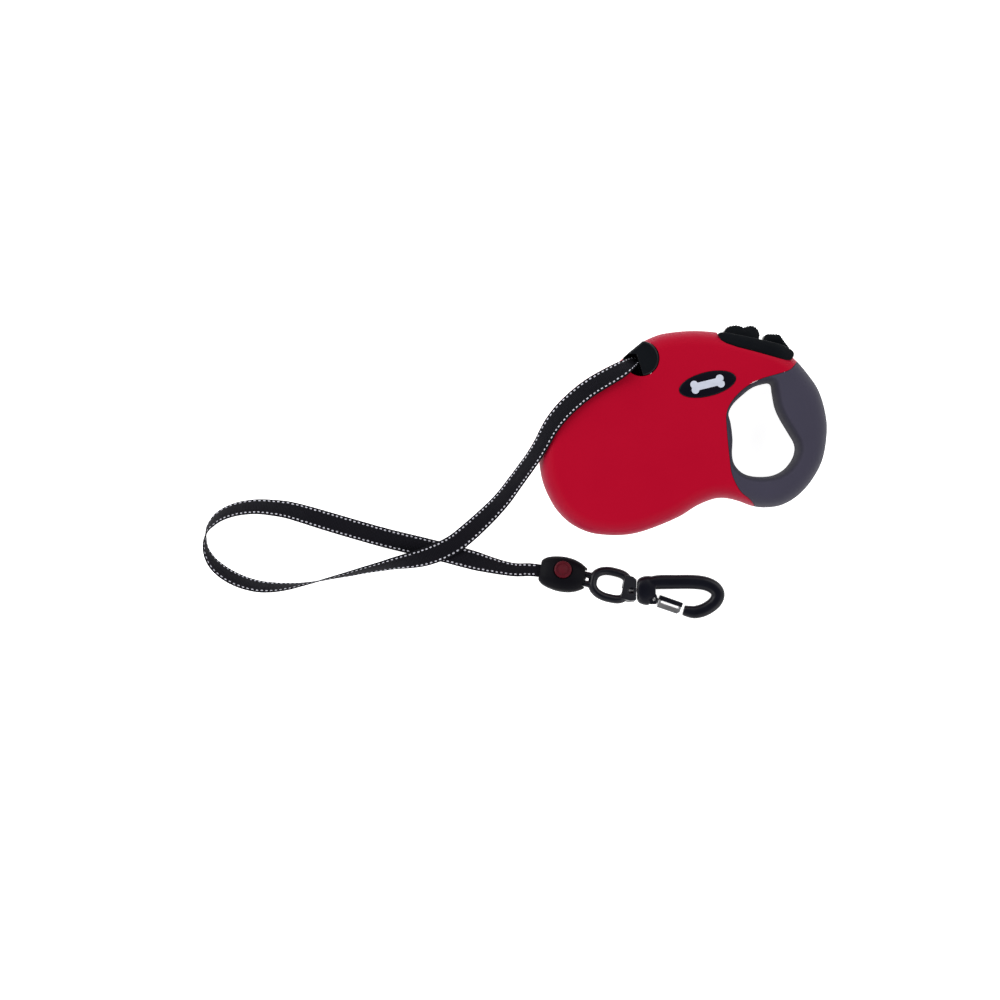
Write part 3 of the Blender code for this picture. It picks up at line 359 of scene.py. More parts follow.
def crowned(name, side, look, hole=None):
    """Half of the housing's outer shape, above (side 1) or below (side -1) the parting plane."""
    outer = spline(OUTLINE, True, 260)
    levels = rim_levels(RIM_OUTER, MID, GAP / 2)
    rings = [level(inset(outer, d), MID + side * z) for d, z in levels]
    if hole is None:
        return new_object(name, *loft(rings), look)
    bore = spline(hole, True, 150)[::-1]
    bore_levels = rim_levels(RIM_HOLE, MID, GAP / 2)
    bores = [level(inset(bore[::-1], d), MID + side * z) for d, z in bore_levels]
    size, small = len(outer), len(bore)
    points = [p for ring in rings for p in ring] + [p for ring in bores for p in ring]
    start = len(rings) * size
    faces = []
    for base, count, total in ((0, size, len(rings)), (start, small, len(bores))):
        for k in range(total - 1):
            for i in range(count):
                j = (i + 1) % count
                faces.append((base + k * count + i, base + k * count + j,
                              base + (k + 1) * count + j, base + (k + 1) * count + i))
    for k in (0, len(rings) - 1):
        lids = [rings[k], bores[k]]
        for triangle in tessellate_polygon([[Vector((p.x, p.y, 0)) for p in ring] for ring in lids]):
            faces.append(tuple(k * size + i if i < size else start + k * small + i - size for i in triangle))
    return new_object(name, points, faces, look)


def band(line):
    """The outline of a band along a line of (x, y, half width) points."""
    path = spline(line, False, 60)
    left, right = [], []
    for i, p in enumerate(path):
        along = Vector(path[min(i + 1, len(path) - 1)][:2]) - Vector(path[max(i - 1, 0)][:2])
        across = Vector((-along.y, along.x)).normalized() * p[2]
        middle = Vector(p[:2])
        left.append(middle + across)
        right.append(middle - across)
    return left + right[::-1]


def cavity_solid(name, side, look):
    """A cutter for the hollow in one half."""
    loop = spline(CAVITY, True, 64)
    levels = [(0.0, -0.5), (0.0, 9.5), (2.0, 14.0), (5.5, 17.6), (9.5, MID - WALL)]
    rings = [level(inset(loop, d), MID + side * z) for d, z in levels]
    return helper(new_object(name, *loft(rings), look))


def uv_point(u, v):
    """A point of the brake's own plan axes, u rearwards along the housing's top and v outwards."""
    along = Vector((math.cos(BRAKE_SLOPE), math.sin(BRAKE_SLOPE)))
    out = Vector((-along.y, along.x))
    return BRAKE + along * u + out * v


def uv_prism(name, corners, low, high, look):
    return prism(name, [uv_point(u, v) for u, v in corners], low, high, look)


def uv_box(name, u0, u1, v0, v1, low, high, look):
    return uv_prism(name, [(u0, v0), (u1, v0), (u1, v1), (u0, v1)], low, high, look)


def ellipse(centre, length, width, angle, count=36):
    turn = Matrix.Rotation(angle, 2)
    return [
        Vector(centre) + turn @ Vector((length / 2 * math.cos(2 * math.pi * i / count),
                                        width / 2 * math.sin(2 * math.pi * i / count)))
        for i in range(count)
    ]


def nozzle_outline(count):
    """A disc cut off along the housing's sloping front edge."""
    edge_start, edge_end = Vector((-42.4, 52.2)), Vector((-27.6, 64.4))
    slope = (edge_end - edge_start).normalized()
    outwards = Vector((-slope.y, slope.x))
    found = []
    for p in circle(NOZZLE, NOZZLE_RADIUS, count):
        over = (p - edge_start).dot(outwards)
        found.append(p - outwards * max(over, 0.0))
    return found


def tape_frame(route, i):
    """Place, width direction and face direction of the tape at one sampled point."""
    here = Vector(route[i][:3])
    along = (Vector(route[min(i + 1, len(route) - 1)][:3]) - Vector(route[max(i - 1, 0)][:3])).normalized()
    right = along.cross(Vector((0, 0, 1))).normalized()
    roll = math.radians(route[i][3])
    wide = right * math.cos(roll) + Vector((0, 0, 1)) * math.sin(roll)
    return here, wide, wide.cross(along).normalized()


def tape_points(count):
    """(x, y, z, roll) along the free tape: lift plus the height of a strip lying at that roll."""
    flat = spline([(x, y, lift, roll) for x, y, roll, lift in TAPE_ROUTE], False, count)
    found = []
    for x, y, lift, roll in flat:
        angle = math.radians(roll)
        half_height = TAPE_WIDTH / 2 * abs(math.sin(angle)) + TAPE_THICKNESS / 2 * abs(math.cos(angle))
        found.append((x, y, max(lift, 0.0) + (half_height + TAPE_REST_GAP), roll))
    return found


def inner_run():
    """The tape inside the housing: on edge where it leaves the roll, turning over towards the nozzle."""
    roll_out = WOUND_OUTER + TAPE_THICKNESS / 2 + 0.5
    target = Vector(INNER_END[0][:2])
    between = target - REEL
    angle = math.atan2(between.y, between.x) - math.acos(roll_out / between.length)
    start = REEL + Vector((math.cos(angle), math.sin(angle))) * roll_out
    found = [(*start.lerp(target, k / 4), TAPE_Z, -90.0) for k in range(4)]
    return found + INNER_END


def tape_half_widths(count):
    """Half widths along the free tape, which narrows into the collar."""
    found = []
    for i in range(count):
        late = max(i / (count - 1) - TAPE_TAPER_FROM, 0.0) / (1 - TAPE_TAPER_FROM)
        found.append(TAPE_WIDTH / 2 * (1 - (1 - TAPE_END_WIDTH) * late))
    return found


def screw_hole(name, place, look):
    """The head's pocket and the shank's hole, blind in the upper half."""
    return helper(stacked(name, [(3.2, -3.0), (3.2, 3.6), (1.5, 3.6), (1.5, 33.0)], place, look, count=12))


def collar_frame():
    """The collar's frame, with X towards the link."""
    return frame_along(COLLAR, (math.cos(COLLAR_YAW), math.sin(COLLAR_YAW), 0), COLLAR_ROLL)


def button_frame():
    """The collar button's own frame, with X out of the collar's upper face."""
    return collar_frame() @ Matrix.Translation((-1.0, 1.8, 0)) @ Matrix.Rotation(-math.pi / 2, 4, "Y")


def squircle(wide, high, count):
    """A rounded-rectangle-like oval."""
    found = []
    for i in range(count):
        angle = 2 * math.pi * (i + 0.5) / count
        c, s = math.cos(angle), math.sin(angle)
        found.append((wide * math.copysign(abs(c) ** (2 / SQUIRCLE), c),
                      high * math.copysign(abs(s) ** (2 / SQUIRCLE), s)))
    return found


def link_frame():
    """The link's frame, from its bar towards the swivel."""
    return frame_along(LINK_START, LINK_END - LINK_START, COLLAR_ROLL)


def hook_arm(count, sides):
    """The spine and the curved nose, ending at the gate, along (x, y, half width) at the hook's height."""
    line = [
        (-23.0, -109.6, 4.6), (-16.0, -108.7, 5.2), (-4.0, -108.6, 5.2), (8.0, -108.6, 5.2),
        (17.4, -109.7, 5.1), (24.0, -112.9, 5.0), (26.6, -117.6, 4.9), (24.4, -123.2, 4.8),
        (18.0, -128.0, 4.8), (10.8, -130.3, 4.7), (5.6, -129.9, 4.3), (1.7, -128.9, 3.7),
    ]
    path = spline([(x, y, half, 0.0) for x, y, half in line], False, count)
    rings = []
    for i, p in enumerate(path):
        along = Vector(path[min(i + 1, count - 1)][:2]) - Vector(path[max(i - 1, 0)][:2])
        across = Vector((-along.y, along.x, 0)).normalized()
        middle = Vector((p[0], p[1], HOOK.z))
        rings.append([middle + across * a + Vector((0, 0, b)) for a, b in squircle(p[2], 4.2, sides)])
    return loft(rings)


def rim_levels(width, height, first):
    """(inset, rise) pairs up a rounded rim, dense where it is steep."""
    found = [(0.0, first)]
    steps = 16
    for k in range(1, steps + 1):
        share = (k / steps) ** 2
        found.append((width * share, height * (1 - (1 - share) ** RIM_POWER) ** (1 / RIM_POWER)))
    return found


def bake(obj):
    """Turns the object's modifiers into its mesh."""
    graph = bpy.context.evaluated_depsgraph_get()
    mesh = bpy.data.meshes.new_from_object(obj.evaluated_get(graph))
    look = obj.data.materials[0]
    obj.modifiers.clear()
    obj.data = mesh
    mesh.materials.clear()
    mesh.materials.append(look)
    for face in mesh.polygons:
        face.material_index = 0
    return obj


def bevel(obj, width, angle=32.0, segments=2):
    step = obj.modifiers.new("Bevel", "BEVEL")
    step.width = width * MM
    step.segments = segments
    step.limit_method = "ANGLE"
    step.angle_limit = math.radians(angle)
    step.use_clamp_overlap = True
    return obj


def cast(obj, voxel, rounds):
    """Rounds every edge of a solid, as in a casting or a moulding."""
    remesh = obj.modifiers.new("Remesh", "REMESH")
    remesh.mode = "VOXEL"
    remesh.voxel_size = voxel * MM
    smooth = obj.modifiers.new("Smooth", "SMOOTH")
    smooth.factor = 0.5
    smooth.iterations = rounds
    return obj


def finish_piece(obj, body, slot, *nodes, angle=38.0, weigh=False):
    """Bakes and shades a piece, hangs it on the body it rides on, and hides the CAD nodes it stands for."""
    bake(obj)
    obj.data.shade_smooth()
    obj.data.set_sharp_from_angle(angle=math.radians(angle))
    if weigh:
        step = obj.modifiers.new("Normals", "WEIGHTED_NORMAL")
        step.keep_sharp = True
        bake(obj)
    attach(obj, body)
    if nodes:
        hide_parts(*nodes)
    return obj


# Materials.
def stuff(name, colour, rough, metal=0.0, vary=0.1, cloud=45.0, grain=1100.0, bump=0.15, depth=0.08, spec=0.5,
          stretch=(1, 1, 1)):
    """A moulded, cast or sprayed surface: cloudy colour and gloss, and a fine grain."""
    made = bpy.data.materials.new(name)
    made.use_nodes = True
    nodes, links = made.node_tree.nodes, made.node_tree.links
    shader = nodes["Principled BSDF"]
    place = nodes.new("ShaderNodeTexCoord")
    scale = nodes.new("ShaderNodeMapping")
    scale.inputs["Scale"].default_value = stretch
    links.new(place.outputs["Object"], scale.inputs["Vector"])
    clouds = nodes.new("ShaderNodeTexNoise")
    clouds.inputs["Scale"].default_value = cloud
    clouds.inputs["Detail"].default_value = 4.0
    links.new(scale.outputs["Vector"], clouds.inputs["Vector"])
    mix = nodes.new("ShaderNodeMix")
    mix.data_type = "RGBA"
    links.new(clouds.outputs["Fac"], mix.inputs[0])
    mix.inputs[6].default_value = (*[c * (1 - vary) for c in colour], 1)
    mix.inputs[7].default_value = (*[c * (1 + vary) for c in colour], 1)
    links.new(mix.outputs[2], shader.inputs["Base Color"])
    span = nodes.new("ShaderNodeMapRange")
    span.inputs["To Min"].default_value = max(rough - 0.07, 0.03)
    span.inputs["To Max"].default_value = min(rough + 0.07, 1.0)
    links.new(clouds.outputs["Fac"], span.inputs["Value"])
    links.new(span.outputs["Result"], shader.inputs["Roughness"])
    fine = nodes.new("ShaderNodeTexNoise")
    fine.inputs["Scale"].default_value = grain
    fine.inputs["Detail"].default_value = 2.0
    links.new(scale.outputs["Vector"], fine.inputs["Vector"])
    lift = nodes.new("ShaderNodeBump")
    lift.inputs["Strength"].default_value = bump
    lift.inputs["Distance"].default_value = depth * MM
    links.new(fine.outputs["Fac"], lift.inputs["Height"])
    links.new(lift.outputs["Normal"], shader.inputs["Normal"])
    shader.inputs["Metallic"].default_value = metal
    shader.inputs["Specular IOR Level"].default_value = spec
    return made


def shade_steep_sides(made, side_shade_colour):
    """Paints shade on a surface's steep sides: a darker colour where the normal turns away from up, blending
    softly into the top's colour.
    """
    nodes, links = made.node_tree.nodes, made.node_tree.links
    shader = nodes["Principled BSDF"]
    source = shader.inputs["Base Color"].links[0].from_socket
    geometry = nodes.new("ShaderNodeNewGeometry")
    parts = nodes.new("ShaderNodeSeparateXYZ")
    links.new(geometry.outputs["Normal"], parts.inputs["Vector"])
    size = nodes.new("ShaderNodeMath")
    size.operation = "ABSOLUTE"
    links.new(parts.outputs["Z"], size.inputs[0])
    span = nodes.new("ShaderNodeMapRange")
    span.inputs["From Min"].default_value = 0.25
    span.inputs["From Max"].default_value = 0.97
    links.new(size.outputs["Value"], span.inputs["Value"])
    mix = nodes.new("ShaderNodeMix")
    mix.data_type = "RGBA"
    links.new(span.outputs["Result"], mix.inputs[0])
    mix.inputs[6].default_value = (*side_shade_colour, 1)
    links.new(source, mix.inputs[7])
    links.new(mix.outputs[2], shader.inputs["Base Color"])
    return made


def woven(name, dark, light):
    """Flat webbing: warp ribs along it and weft picks across, from a UV map in millimetres."""
    made = stuff(name, dark, 0.8, spec=0.1)
    nodes, links = made.node_tree.nodes, made.node_tree.links
    shader = nodes["Principled BSDF"]
    uv = nodes.new("ShaderNodeUVMap")
    uv.uv_map = "tape"
    waves = []
    for direction, pitch in (("X", 1.15), ("Y", 1.0)):
        wave = nodes.new("ShaderNodeTexWave")
        wave.bands_direction = direction
        wave.inputs["Scale"].default_value = 2 * math.pi / (20 * pitch)
        wave.inputs["Distortion"].default_value = 0.25
        wave.inputs["Detail"].default_value = 1.0
        links.new(uv.outputs["UV"], wave.inputs["Vector"])
        waves.append(wave)
    weave = nodes.new("ShaderNodeMath")
    weave.operation = "MULTIPLY"
    links.new(waves[0].outputs["Fac"], weave.inputs[0])
    links.new(waves[1].outputs["Fac"], weave.inputs[1])
    mix = nodes.new("ShaderNodeMix")
    mix.data_type = "RGBA"
    links.new(weave.outputs["Value"], mix.inputs[0])
    mix.inputs[6].default_value = (*dark, 1)
    mix.inputs[7].default_value = (*light, 1)
    links.new(mix.outputs[2], shader.inputs["Base Color"])
    lift = nodes.new("ShaderNodeBump")
    lift.inputs["Strength"].default_value = 0.7
    lift.inputs["Distance"].default_value = 0.35 * MM
    links.new(weave.outputs["Value"], lift.inputs["Height"])
    links.new(lift.outputs["Normal"], shader.inputs["Normal"])
    return made


def make_looks():
    """One look for each material slot of the frame, and for the thread and the bone."""
    red = stuff("red_satin", (0.31, 0.0004, 0.014), 0.5, vary=0.04, cloud=22, grain=1600, bump=0.06,
                spec=0.06)
    soft = stuff("soft_touch", (0.032, 0.0295, 0.048), 0.7, vary=0.12, cloud=30, grain=2200, bump=0.35,
                 depth=0.1, spec=0.14)
    return {
        # Painted shade: the red cover and the soft grip get a darker colour on their steep sides.
        "red_shell": shade_steep_sides(red, (0.235, 0.0008, 0.02)),
        "soft_grip": shade_steep_sides(soft, (0.026, 0.0245, 0.037)),
        "black_plastic": stuff("textured_black", (0.0012, 0.002, 0.0034), 0.36, vary=0.25, grain=2600,
                               bump=0.5, depth=0.12, spec=0.16),
        "inner_plastic": stuff("natural_acetal", (0.62, 0.61, 0.57), 0.45, vary=0.05, grain=900),
        "badge": stuff("gloss_badge", (0.002, 0.0018, 0.005), 0.25, vary=0.2, bump=0.03, spec=0.2),
        "steel": stuff("bright_steel", (0.56, 0.56, 0.58), 0.3, metal=1.0, vary=0.12, cloud=240, grain=1500,
                       stretch=(1, 1, 7), bump=0.2),
        "webbing": woven("woven_tape", (0.0012, 0.0011, 0.0022), (0.0075, 0.007, 0.013)),
        "collar_rubber": stuff("moulded_rubber", (0.0014, 0.0013, 0.0028), 0.5, vary=0.2, cloud=90,
                               grain=1400, bump=0.3, spec=0.07),
        "red_button": stuff("dark_red", (0.066, 0.002, 0.007), 0.42, vary=0.35, cloud=260, grain=1500,
                            bump=0.2, spec=0.15),
        "black_metal": stuff("black_casting", (0.002, 0.0022, 0.0055), 0.32, vary=0.3, cloud=120, grain=1300,
                             bump=0.25, spec=0.2),
        "thread": stuff("reflective_thread", (0.4, 0.4, 0.45), 0.5, vary=0.4, cloud=420, grain=3000, bump=0.6,
                        depth=0.15, spec=0.5),
        "icon": stuff("silver_print", (0.41, 0.435, 0.51), 0.4, vary=0.12, cloud=300, grain=1500),
    }


def dress_frame(looks):
    """Gives each CAD node the look of its material slot."""
    for part in frame["record"]["subparts"]:
        mesh = frame["nodes"][part["node"]].data
        mesh.materials.clear()
        mesh.materials.append(looks[part["material_slot"]])


def make_shells(looks):
    """The two red covers, hollow, cut back for the grip, nozzle, bezel, badges and screws."""
    red = looks["red_shell"]
    grip_cut = helper(prism("grip_cut", inset(spline(GRIP_EDGE, True, 200), GAP / 2), *THROUGH, red))
    nozzle_cut = helper(prism("nozzle_cut", circle(NOZZLE, NOZZLE_RADIUS + GAP, 96), *THROUGH, red))
    bezel_cut = helper(uv_prism("bezel_cut", inset([Vector(p) for p in BEZEL_CUT], GAP), *THROUGH, red))
    for name, side in (("lower", -1), ("upper", 1)):
        shell = crowned(f"{name}_red_cover", side, red)
        boolean(shell, grip_cut)
        boolean(shell, cavity_solid(f"{name}_cavity", side, red))
        boolean(shell, nozzle_cut)
        boolean(shell, bezel_cut)
        low, high = (THROUGH[0], 1.3) if side < 0 else (THICKNESS - 1.3, THROUGH[1])
        pocket = ellipse(BADGE, BADGE_SIZE[0] + 2 * GAP, BADGE_SIZE[1] + 2 * GAP, BADGE_ANGLE, 96)
        boolean(shell, helper(prism(f"{name}_badge_cut", pocket, low, high, red)))
        if side < 0:
            for i, place in enumerate(SCREWS[:3], 1):
                boolean(shell, screw_hole(f"shell_hole_{i}", place, red))
        bake(shell)
        bevel(shell, 0.45)
        finish_piece(shell, "housing", "red_shell", f"{name}_shell", weigh=True)


def make_grips(looks):
    """The two soft covers round the hand hole."""
    soft = looks["soft_grip"]
    region = helper(prism("grip_region", inset(spline(GRIP_EDGE, True, 200), -GAP / 2), *THROUGH, soft))
    for name, side in (("lower", -1), ("upper", 1)):
        grip = crowned(f"{name}_soft_cover", side, soft, hole=HAND_HOLE)
        boolean(grip, region, "INTERSECT")
        if side < 0:
            for i, place in enumerate(SCREWS[3:], 4):
                boolean(grip, screw_hole(f"grip_hole_{i}", place, soft))
        bake(grip)
        bevel(grip, 0.45)
        finish_piece(grip, "housing", "soft_grip", f"{name}_grip", weigh=True)


def bone_outline(length, width):
    """A plain bone: a bar with two round knobs at each end."""
    knob = width * 0.29
    x, y = length / 2 - knob, width / 2 - knob
    found = []
    for cx, cy, first, last in ((x, y, 165, -62), (x, -y, 62, -165), (-x, -y, -15, -242), (-x, y, 242, 15)):
        for k in range(15):
            angle = math.radians(first + (last - first) * k / 14)
            found.append(Vector((cx + knob * math.cos(angle), cy + knob * math.sin(angle))))
    turn = Matrix.Rotation(BADGE_ANGLE, 2)
    return [Vector(BADGE) + turn @ p for p in found]


def make_badges(looks):
    """A dark oval with a pale bone on each face."""
    for name, low, high in (("upper_badge", THICKNESS - 1.0, THICKNESS + 0.45), ("lower_badge", 0.15, 1.0)):
        oval = ellipse(BADGE, *BADGE_SIZE, BADGE_ANGLE, 96)
        plate = prism(f"{name}_plate", oval, low, high, looks["badge"])
        finish_piece(bevel(plate, 0.4, segments=3), "housing", "badge", name)
    bone = prism("badge_bone", bone_outline(24.0, 9.4), THICKNESS + 0.4, THICKNESS + 0.72, looks["icon"])
    finish_piece(bevel(bone, 0.15), "housing", "badge")
    bone = prism("under_badge_bone", bone_outline(24.0, 9.4), 0.02, 0.2, looks["icon"])
    finish_piece(bone, "housing", "badge")


def make_nozzle(looks):
    """The tape's mouth: a disc with the tape's passage through it, open towards the front."""
    black = looks["black_plastic"]
    body = nozzle_outline(96)
    rings = [level(inset(body, grow), z) for grow, z in
             ((-1.2, 2.4), (-0.4, 2.7), (0.0, 3.6), (0.0, 43.1), (-0.35, 44.0), (-1.2, 44.4))]
    nozzle = new_object("nozzle_mouth", *loft(rings), black)
    boolean(nozzle, helper(prism("passage", band(PASSAGE), 22.8, 42.4, black)))
    corners = [(-34.0, 53.6, 24.5), (-46.0, 53.6, 33.0), (-46.0, 34.0, 33.0), (-28.8, 37.0, 24.5)]
    mouth = new_object("mouth", *loft([[Vector(c) for c in corners], level(corners, 60.0)]), black)
    boolean(nozzle, helper(mouth))
    finish_piece(cast(nozzle, 0.4, 5), "housing", "black_plastic", "tape_nozzle", angle=60)


def rippled(points, count, first, last, pitch, height):
    """A smooth outline of (u, v) with tread ridges on the stretch between two of its points' shares."""
    fine = spline([(*p, 0.0) for p in points], False, count)
    found = []
    travelled = 0.0
    for i, p in enumerate(fine):
        if i:
            travelled += (p - fine[i - 1]).length
        share = i / (count - 1)
        rise = height * max(math.sin(2 * math.pi * travelled / pitch), 0.0) if first < share < last else 0.0
        along = fine[min(i + 1, count - 1)] - fine[max(i - 1, 0)]
        across = Vector((-along.y, along.x, 0.0)).normalized()
        found.append(Vector((p.x, p.y)) + Vector((across.x, across.y)) * rise)
    return found


def make_brake(looks):
    """The bezel, and the button and lock that move in it."""
    black = looks["black_plastic"]
    edge = [Vector((p[0], p[1])) for p in spline([(*p, 0.0) for p in BEZEL_EDGE], True, 120)]
    bezel = uv_prism("brake_surround", edge, 3.2, THICKNESS - 2.2, black)
    boolean(bezel, helper(uv_box("button_window", -27.9, -1.3, -6, 12, MID - 11.4, MID + 11.4, black)))
    boolean(bezel, helper(uv_box("lock_window", -2.5, 9.8, -6, 12, MID - 4.6, MID + 4.6, black)))
    bake(bezel)
    finish_piece(bevel(bezel, 1.0, segments=3), "housing", "black_plastic", "brake_bezel")

    top = rippled(BUTTON_TOP, 150, 0.12, 0.93, 2.1, 0.55)
    button = uv_prism("thumb_button", [(-27.4, 2.2)] + top + [(-1.8, 2.2)], MID - 11, MID + 11, black)
    for name, v0, v1 in (("free_notch", 3.6, 6.2), ("locked_notch", 7.6, 10.2)):
        boolean(button, helper(uv_box(name, -5.6, 0, v0, v1, MID - 5, MID + 5, black)))
    bake(button)
    finish_piece(bevel(button, 1.1, angle=60, segments=3), "brake", "black_plastic", "brake_button")

    ramp = rippled(LOCK_TOP[:-1], 110, 0.18, 0.97, 1.9, 0.45)
    lock = uv_prism("lock_slider", ramp + [LOCK_TOP[-1]], MID - 10, MID + 10, black)
    boolean(lock, helper(uv_box("lock_stem", 2.4, 8.0, 4.2, 9.0, MID - 4, MID + 4, black)), "UNION")
    boolean(lock, helper(uv_box("lock_tongue", -1.0, 8.0, 4.2, 5.6, MID - 4, MID + 4, black)), "UNION")
    bake(lock)
    finish_piece(bevel(lock, 0.6, angle=60), "lock", "black_plastic", "brake_lock")


def ribbon_section(half, thick):
    """Across and out, round a flat section with rounded edges."""
    r = thick * 0.6
    return [(half, -thick + r), (half, thick - r), (half - r, thick), (0, thick), (-half + r, thick),
            (-half, thick - r), (-half, -thick + r), (-half + r, -thick), (0, -thick), (half - r, -thick)]


def ribbon(name, route, widths, thick, look):
    """Webbing along a route, with a UV map in millimetres along and across."""
    rings, marks = [], []
    travelled = 0.0
    for i in range(len(route)):
        here, wide, face = tape_frame(route, i)
        if i:
            travelled += (Vector(route[i][:3]) - Vector(route[i - 1][:3])).length
        section = ribbon_section(widths[i], thick)
        rings.append([here + wide * a + face * b for a, b in section])
        marks += [(travelled, a) for a, b in section]
    obj = new_object(name, *loft(rings), look)
    layer = obj.data.uv_layers.new(name="tape")
    for loop in obj.data.loops:
        layer.data[loop.index].uv = marks[loop.vertex_index]
    return obj


def stitches(name, route, widths, row, thick, pitch, length, width, look):
    """Raised dashes of thread on both faces, in a slightly uneven row this far in from each edge."""
    travelled = [0.0]
    for p, q in zip(route, route[1:]):
        travelled.append(travelled[-1] + (Vector(q[:3]) - Vector(p[:3])).length)

    def at(distance):
        k = 0
        while k < len(route) - 2 and travelled[k + 1] < distance:
            k += 1
        part = (distance - travelled[k]) / (travelled[k + 1] - travelled[k])
        a, b = tape_frame(route, k), tape_frame(route, k + 1)
        return *(a[j].lerp(b[j], part) for j in range(3)), widths[k] + (widths[k + 1] - widths[k]) * part

    # Along a dash: share of its length, share of its width, rise over the tape.
    stages = [(0.0, 0.55, 0.02), (0.18, 0.95, 0.16), (0.5, 1.0, 0.2), (0.82, 0.95, 0.16), (1.0, 0.55, 0.02)]
    points, faces = [], []
    for n in range(int((travelled[-1] - 4.0) / pitch)):
        spots = [at(2.0 + pitch * n + length * share) for share, _, _ in stages]
        for edge in (1, -1):
            for out in (1, -1):
                start = len(points)
                for (here, wide, face, half), (_, part, rise) in zip(spots, stages):
                    middle = edge * (half - row - 0.14 * math.sin(2.7 * n + edge))
                    fat = width / 2 * part
                    for a, b in ((-fat, -0.1), (-fat * 0.7, rise), (fat * 0.7, rise), (fat, -0.1)):
                        points.append(here + wide * (middle + a) + face * out * (thick + b))
                for s in range(4):
                    for q in range(4):
                        a, b = start + s * 4 + q, start + s * 4 + (q + 1) % 4
                        faces.append((a, b, b + 4, a + 4))
                faces += [tuple(start + q for q in range(4)), tuple(start + 16 + q for q in range(4))]
    return new_object(name, points, faces, look)


def make_tapes(looks):
    """The free tape with its stitching, and the run inside the housing."""
    rings = 430
    route = tape_points(rings)
    widths = tape_half_widths(rings)
    tape = ribbon("flat_tape", route, widths, TAPE_HALF, looks["webbing"])
    finish_piece(tape, "housing", "webbing", "leash_tape", angle=60)
    sewn = stitches("edge_stitching", route, widths, row=1.6, thick=TAPE_HALF, pitch=3.3, length=1.65,
                    width=1.15, look=looks["thread"])
    finish_piece(sewn, "housing", "webbing", angle=60)
    run = inner_run()
    inner = ribbon("inner_tape", run, [TAPE_WIDTH / 2] * len(run), TAPE_HALF, looks["webbing"])
    finish_piece(inner, "housing", "webbing", "tape_inner_run", angle=60)
    return tape, sewn, [Vector(p[:3]) * MM for p in route]


def make_collar(looks):
    """The oval collar on the tape's end and its round button."""
    frame_c = collar_frame()
    sections = spline([(x, wide, high) for x, wide, high in COLLAR_SECTIONS], False, 40)
    rings = [placed(frame_c, [(s[0], y, z) for y, z in squircle(s[1], s[2], 72)]) for s in sections]
    rubber = looks["collar_rubber"]
    collar = new_object("tape_collar", *loft(rings), rubber)
    slot = TAPE_WIDTH / 2 * TAPE_END_WIDTH + 1.0
    boolean(collar, helper(box("tape_slot", frame_c, (-20, -slot, -1.3), (-8, slot, 1.3), rubber)))
    pin = frame_c.inverted() @ LINK_START
    sideways = frame_c @ Matrix.Translation(pin) @ Matrix.Rotation(math.pi / 2, 4, "Z")
    boolean(collar, helper(rod("bar_room", sideways, [(-7.4, 2.6), (7.4, 2.6)], rubber, count=32)))
    for name, y0, y1 in (("prong_room_a", 0.6, 6.5), ("prong_room_b", -6.5, -0.6)):
        fan = [(pin.x - 0.6, -2.5), (pin.x + 9.0, -9.4), (pin.x + 9.0, 9.4), (pin.x - 0.6, 2.5)]
        rings = [placed(frame_c, [(x, y + pin.y, z + pin.z) for x, z in fan]) for y in (y0, y1)]
        boolean(collar, helper(new_object(name, *loft(rings), rubber)))
    boolean(collar, helper(rod("button_room", button_frame(), [(6.2, 6.6), (12, 6.6)], rubber, count=64)))
    finish_piece(cast(collar, 0.35, 4), "housing", "collar_rubber", "end_collar", angle=60)
    steps = [(6.5, 6.2), (8.0, 6.2), (8.5, 6.0), (8.75, 5.5), (8.75, 4.7), (8.35, 4.4), (8.35, 3.7),
             (8.8, 3.3), (9.0, 2.2)]
    button = rod("round_button", button_frame(), steps, looks["red_button"], count=64)
    finish_piece(button, "housing", "red_button", "collar_button")
    return collar, button


def make_link(looks):
    """The cast link, hinged on the collar's bar by two prongs, with a block for the swivel rivet."""
    frame_l = link_frame()
    metal = looks["black_metal"]
    path = []
    for i in range(96):
        angle = 2 * math.pi * i / 96
        c, s = math.cos(angle), math.sin(angle)
        path.append(frame_l @ Vector((22.4 + 12.8 * (abs(c) ** 0.6 if c > 0 else -abs(c)),
                                      9.8 * math.copysign(abs(s) ** (0.62 if c > 0 else 0.8), s), 0)))
    link = tube("link_casting", path, 3.2, metal, sides=20, closed=True)
    boolean(link, helper(rod("link_bar", frame_l @ Matrix.Rotation(math.pi / 2, 4, "Z"),
                             [(-6.6, 2.2), (6.6, 2.2)], metal, count=24)), "UNION")
    for name, y in (("link_prong_a", 3.3), ("link_prong_b", -3.3)):
        beside = frame_l @ Matrix.Translation((0, y, 0))
        prong = rod(name, beside, [(-0.6, 2.1), (12.6, 2.5)], metal, count=20)
        boolean(link, helper(prong), "UNION")
    boss = [(31.4, -8.8), (39.0, -8.9), (42.7, -7.4), (40.1, 7.3), (37.0, 8.9), (31.4, 8.8)]
    rings = [placed(frame_l, [(x, y, z) for x, y in boss]) for z in (-4.0, 4.0)]
    boolean(link, helper(new_object("link_boss", *loft(rings), metal)), "UNION")
    stud = Matrix.Translation(HOOK)
    bore = [(-12.0, 3.1), (-4.3, 3.1), (-4.3, 2.1), (2.0, 2.1)]
    boolean(link, helper(rod("stud_bore", stud, bore, metal, count=32)))
    boolean(link, helper(box("stud_window", stud, (-6.2, -1.7, 0.5), (-2.4, 1.7, 12), metal)))
    return finish_piece(cast(link, 0.33, 5), "link", "black_metal", "link_ring", angle=60)


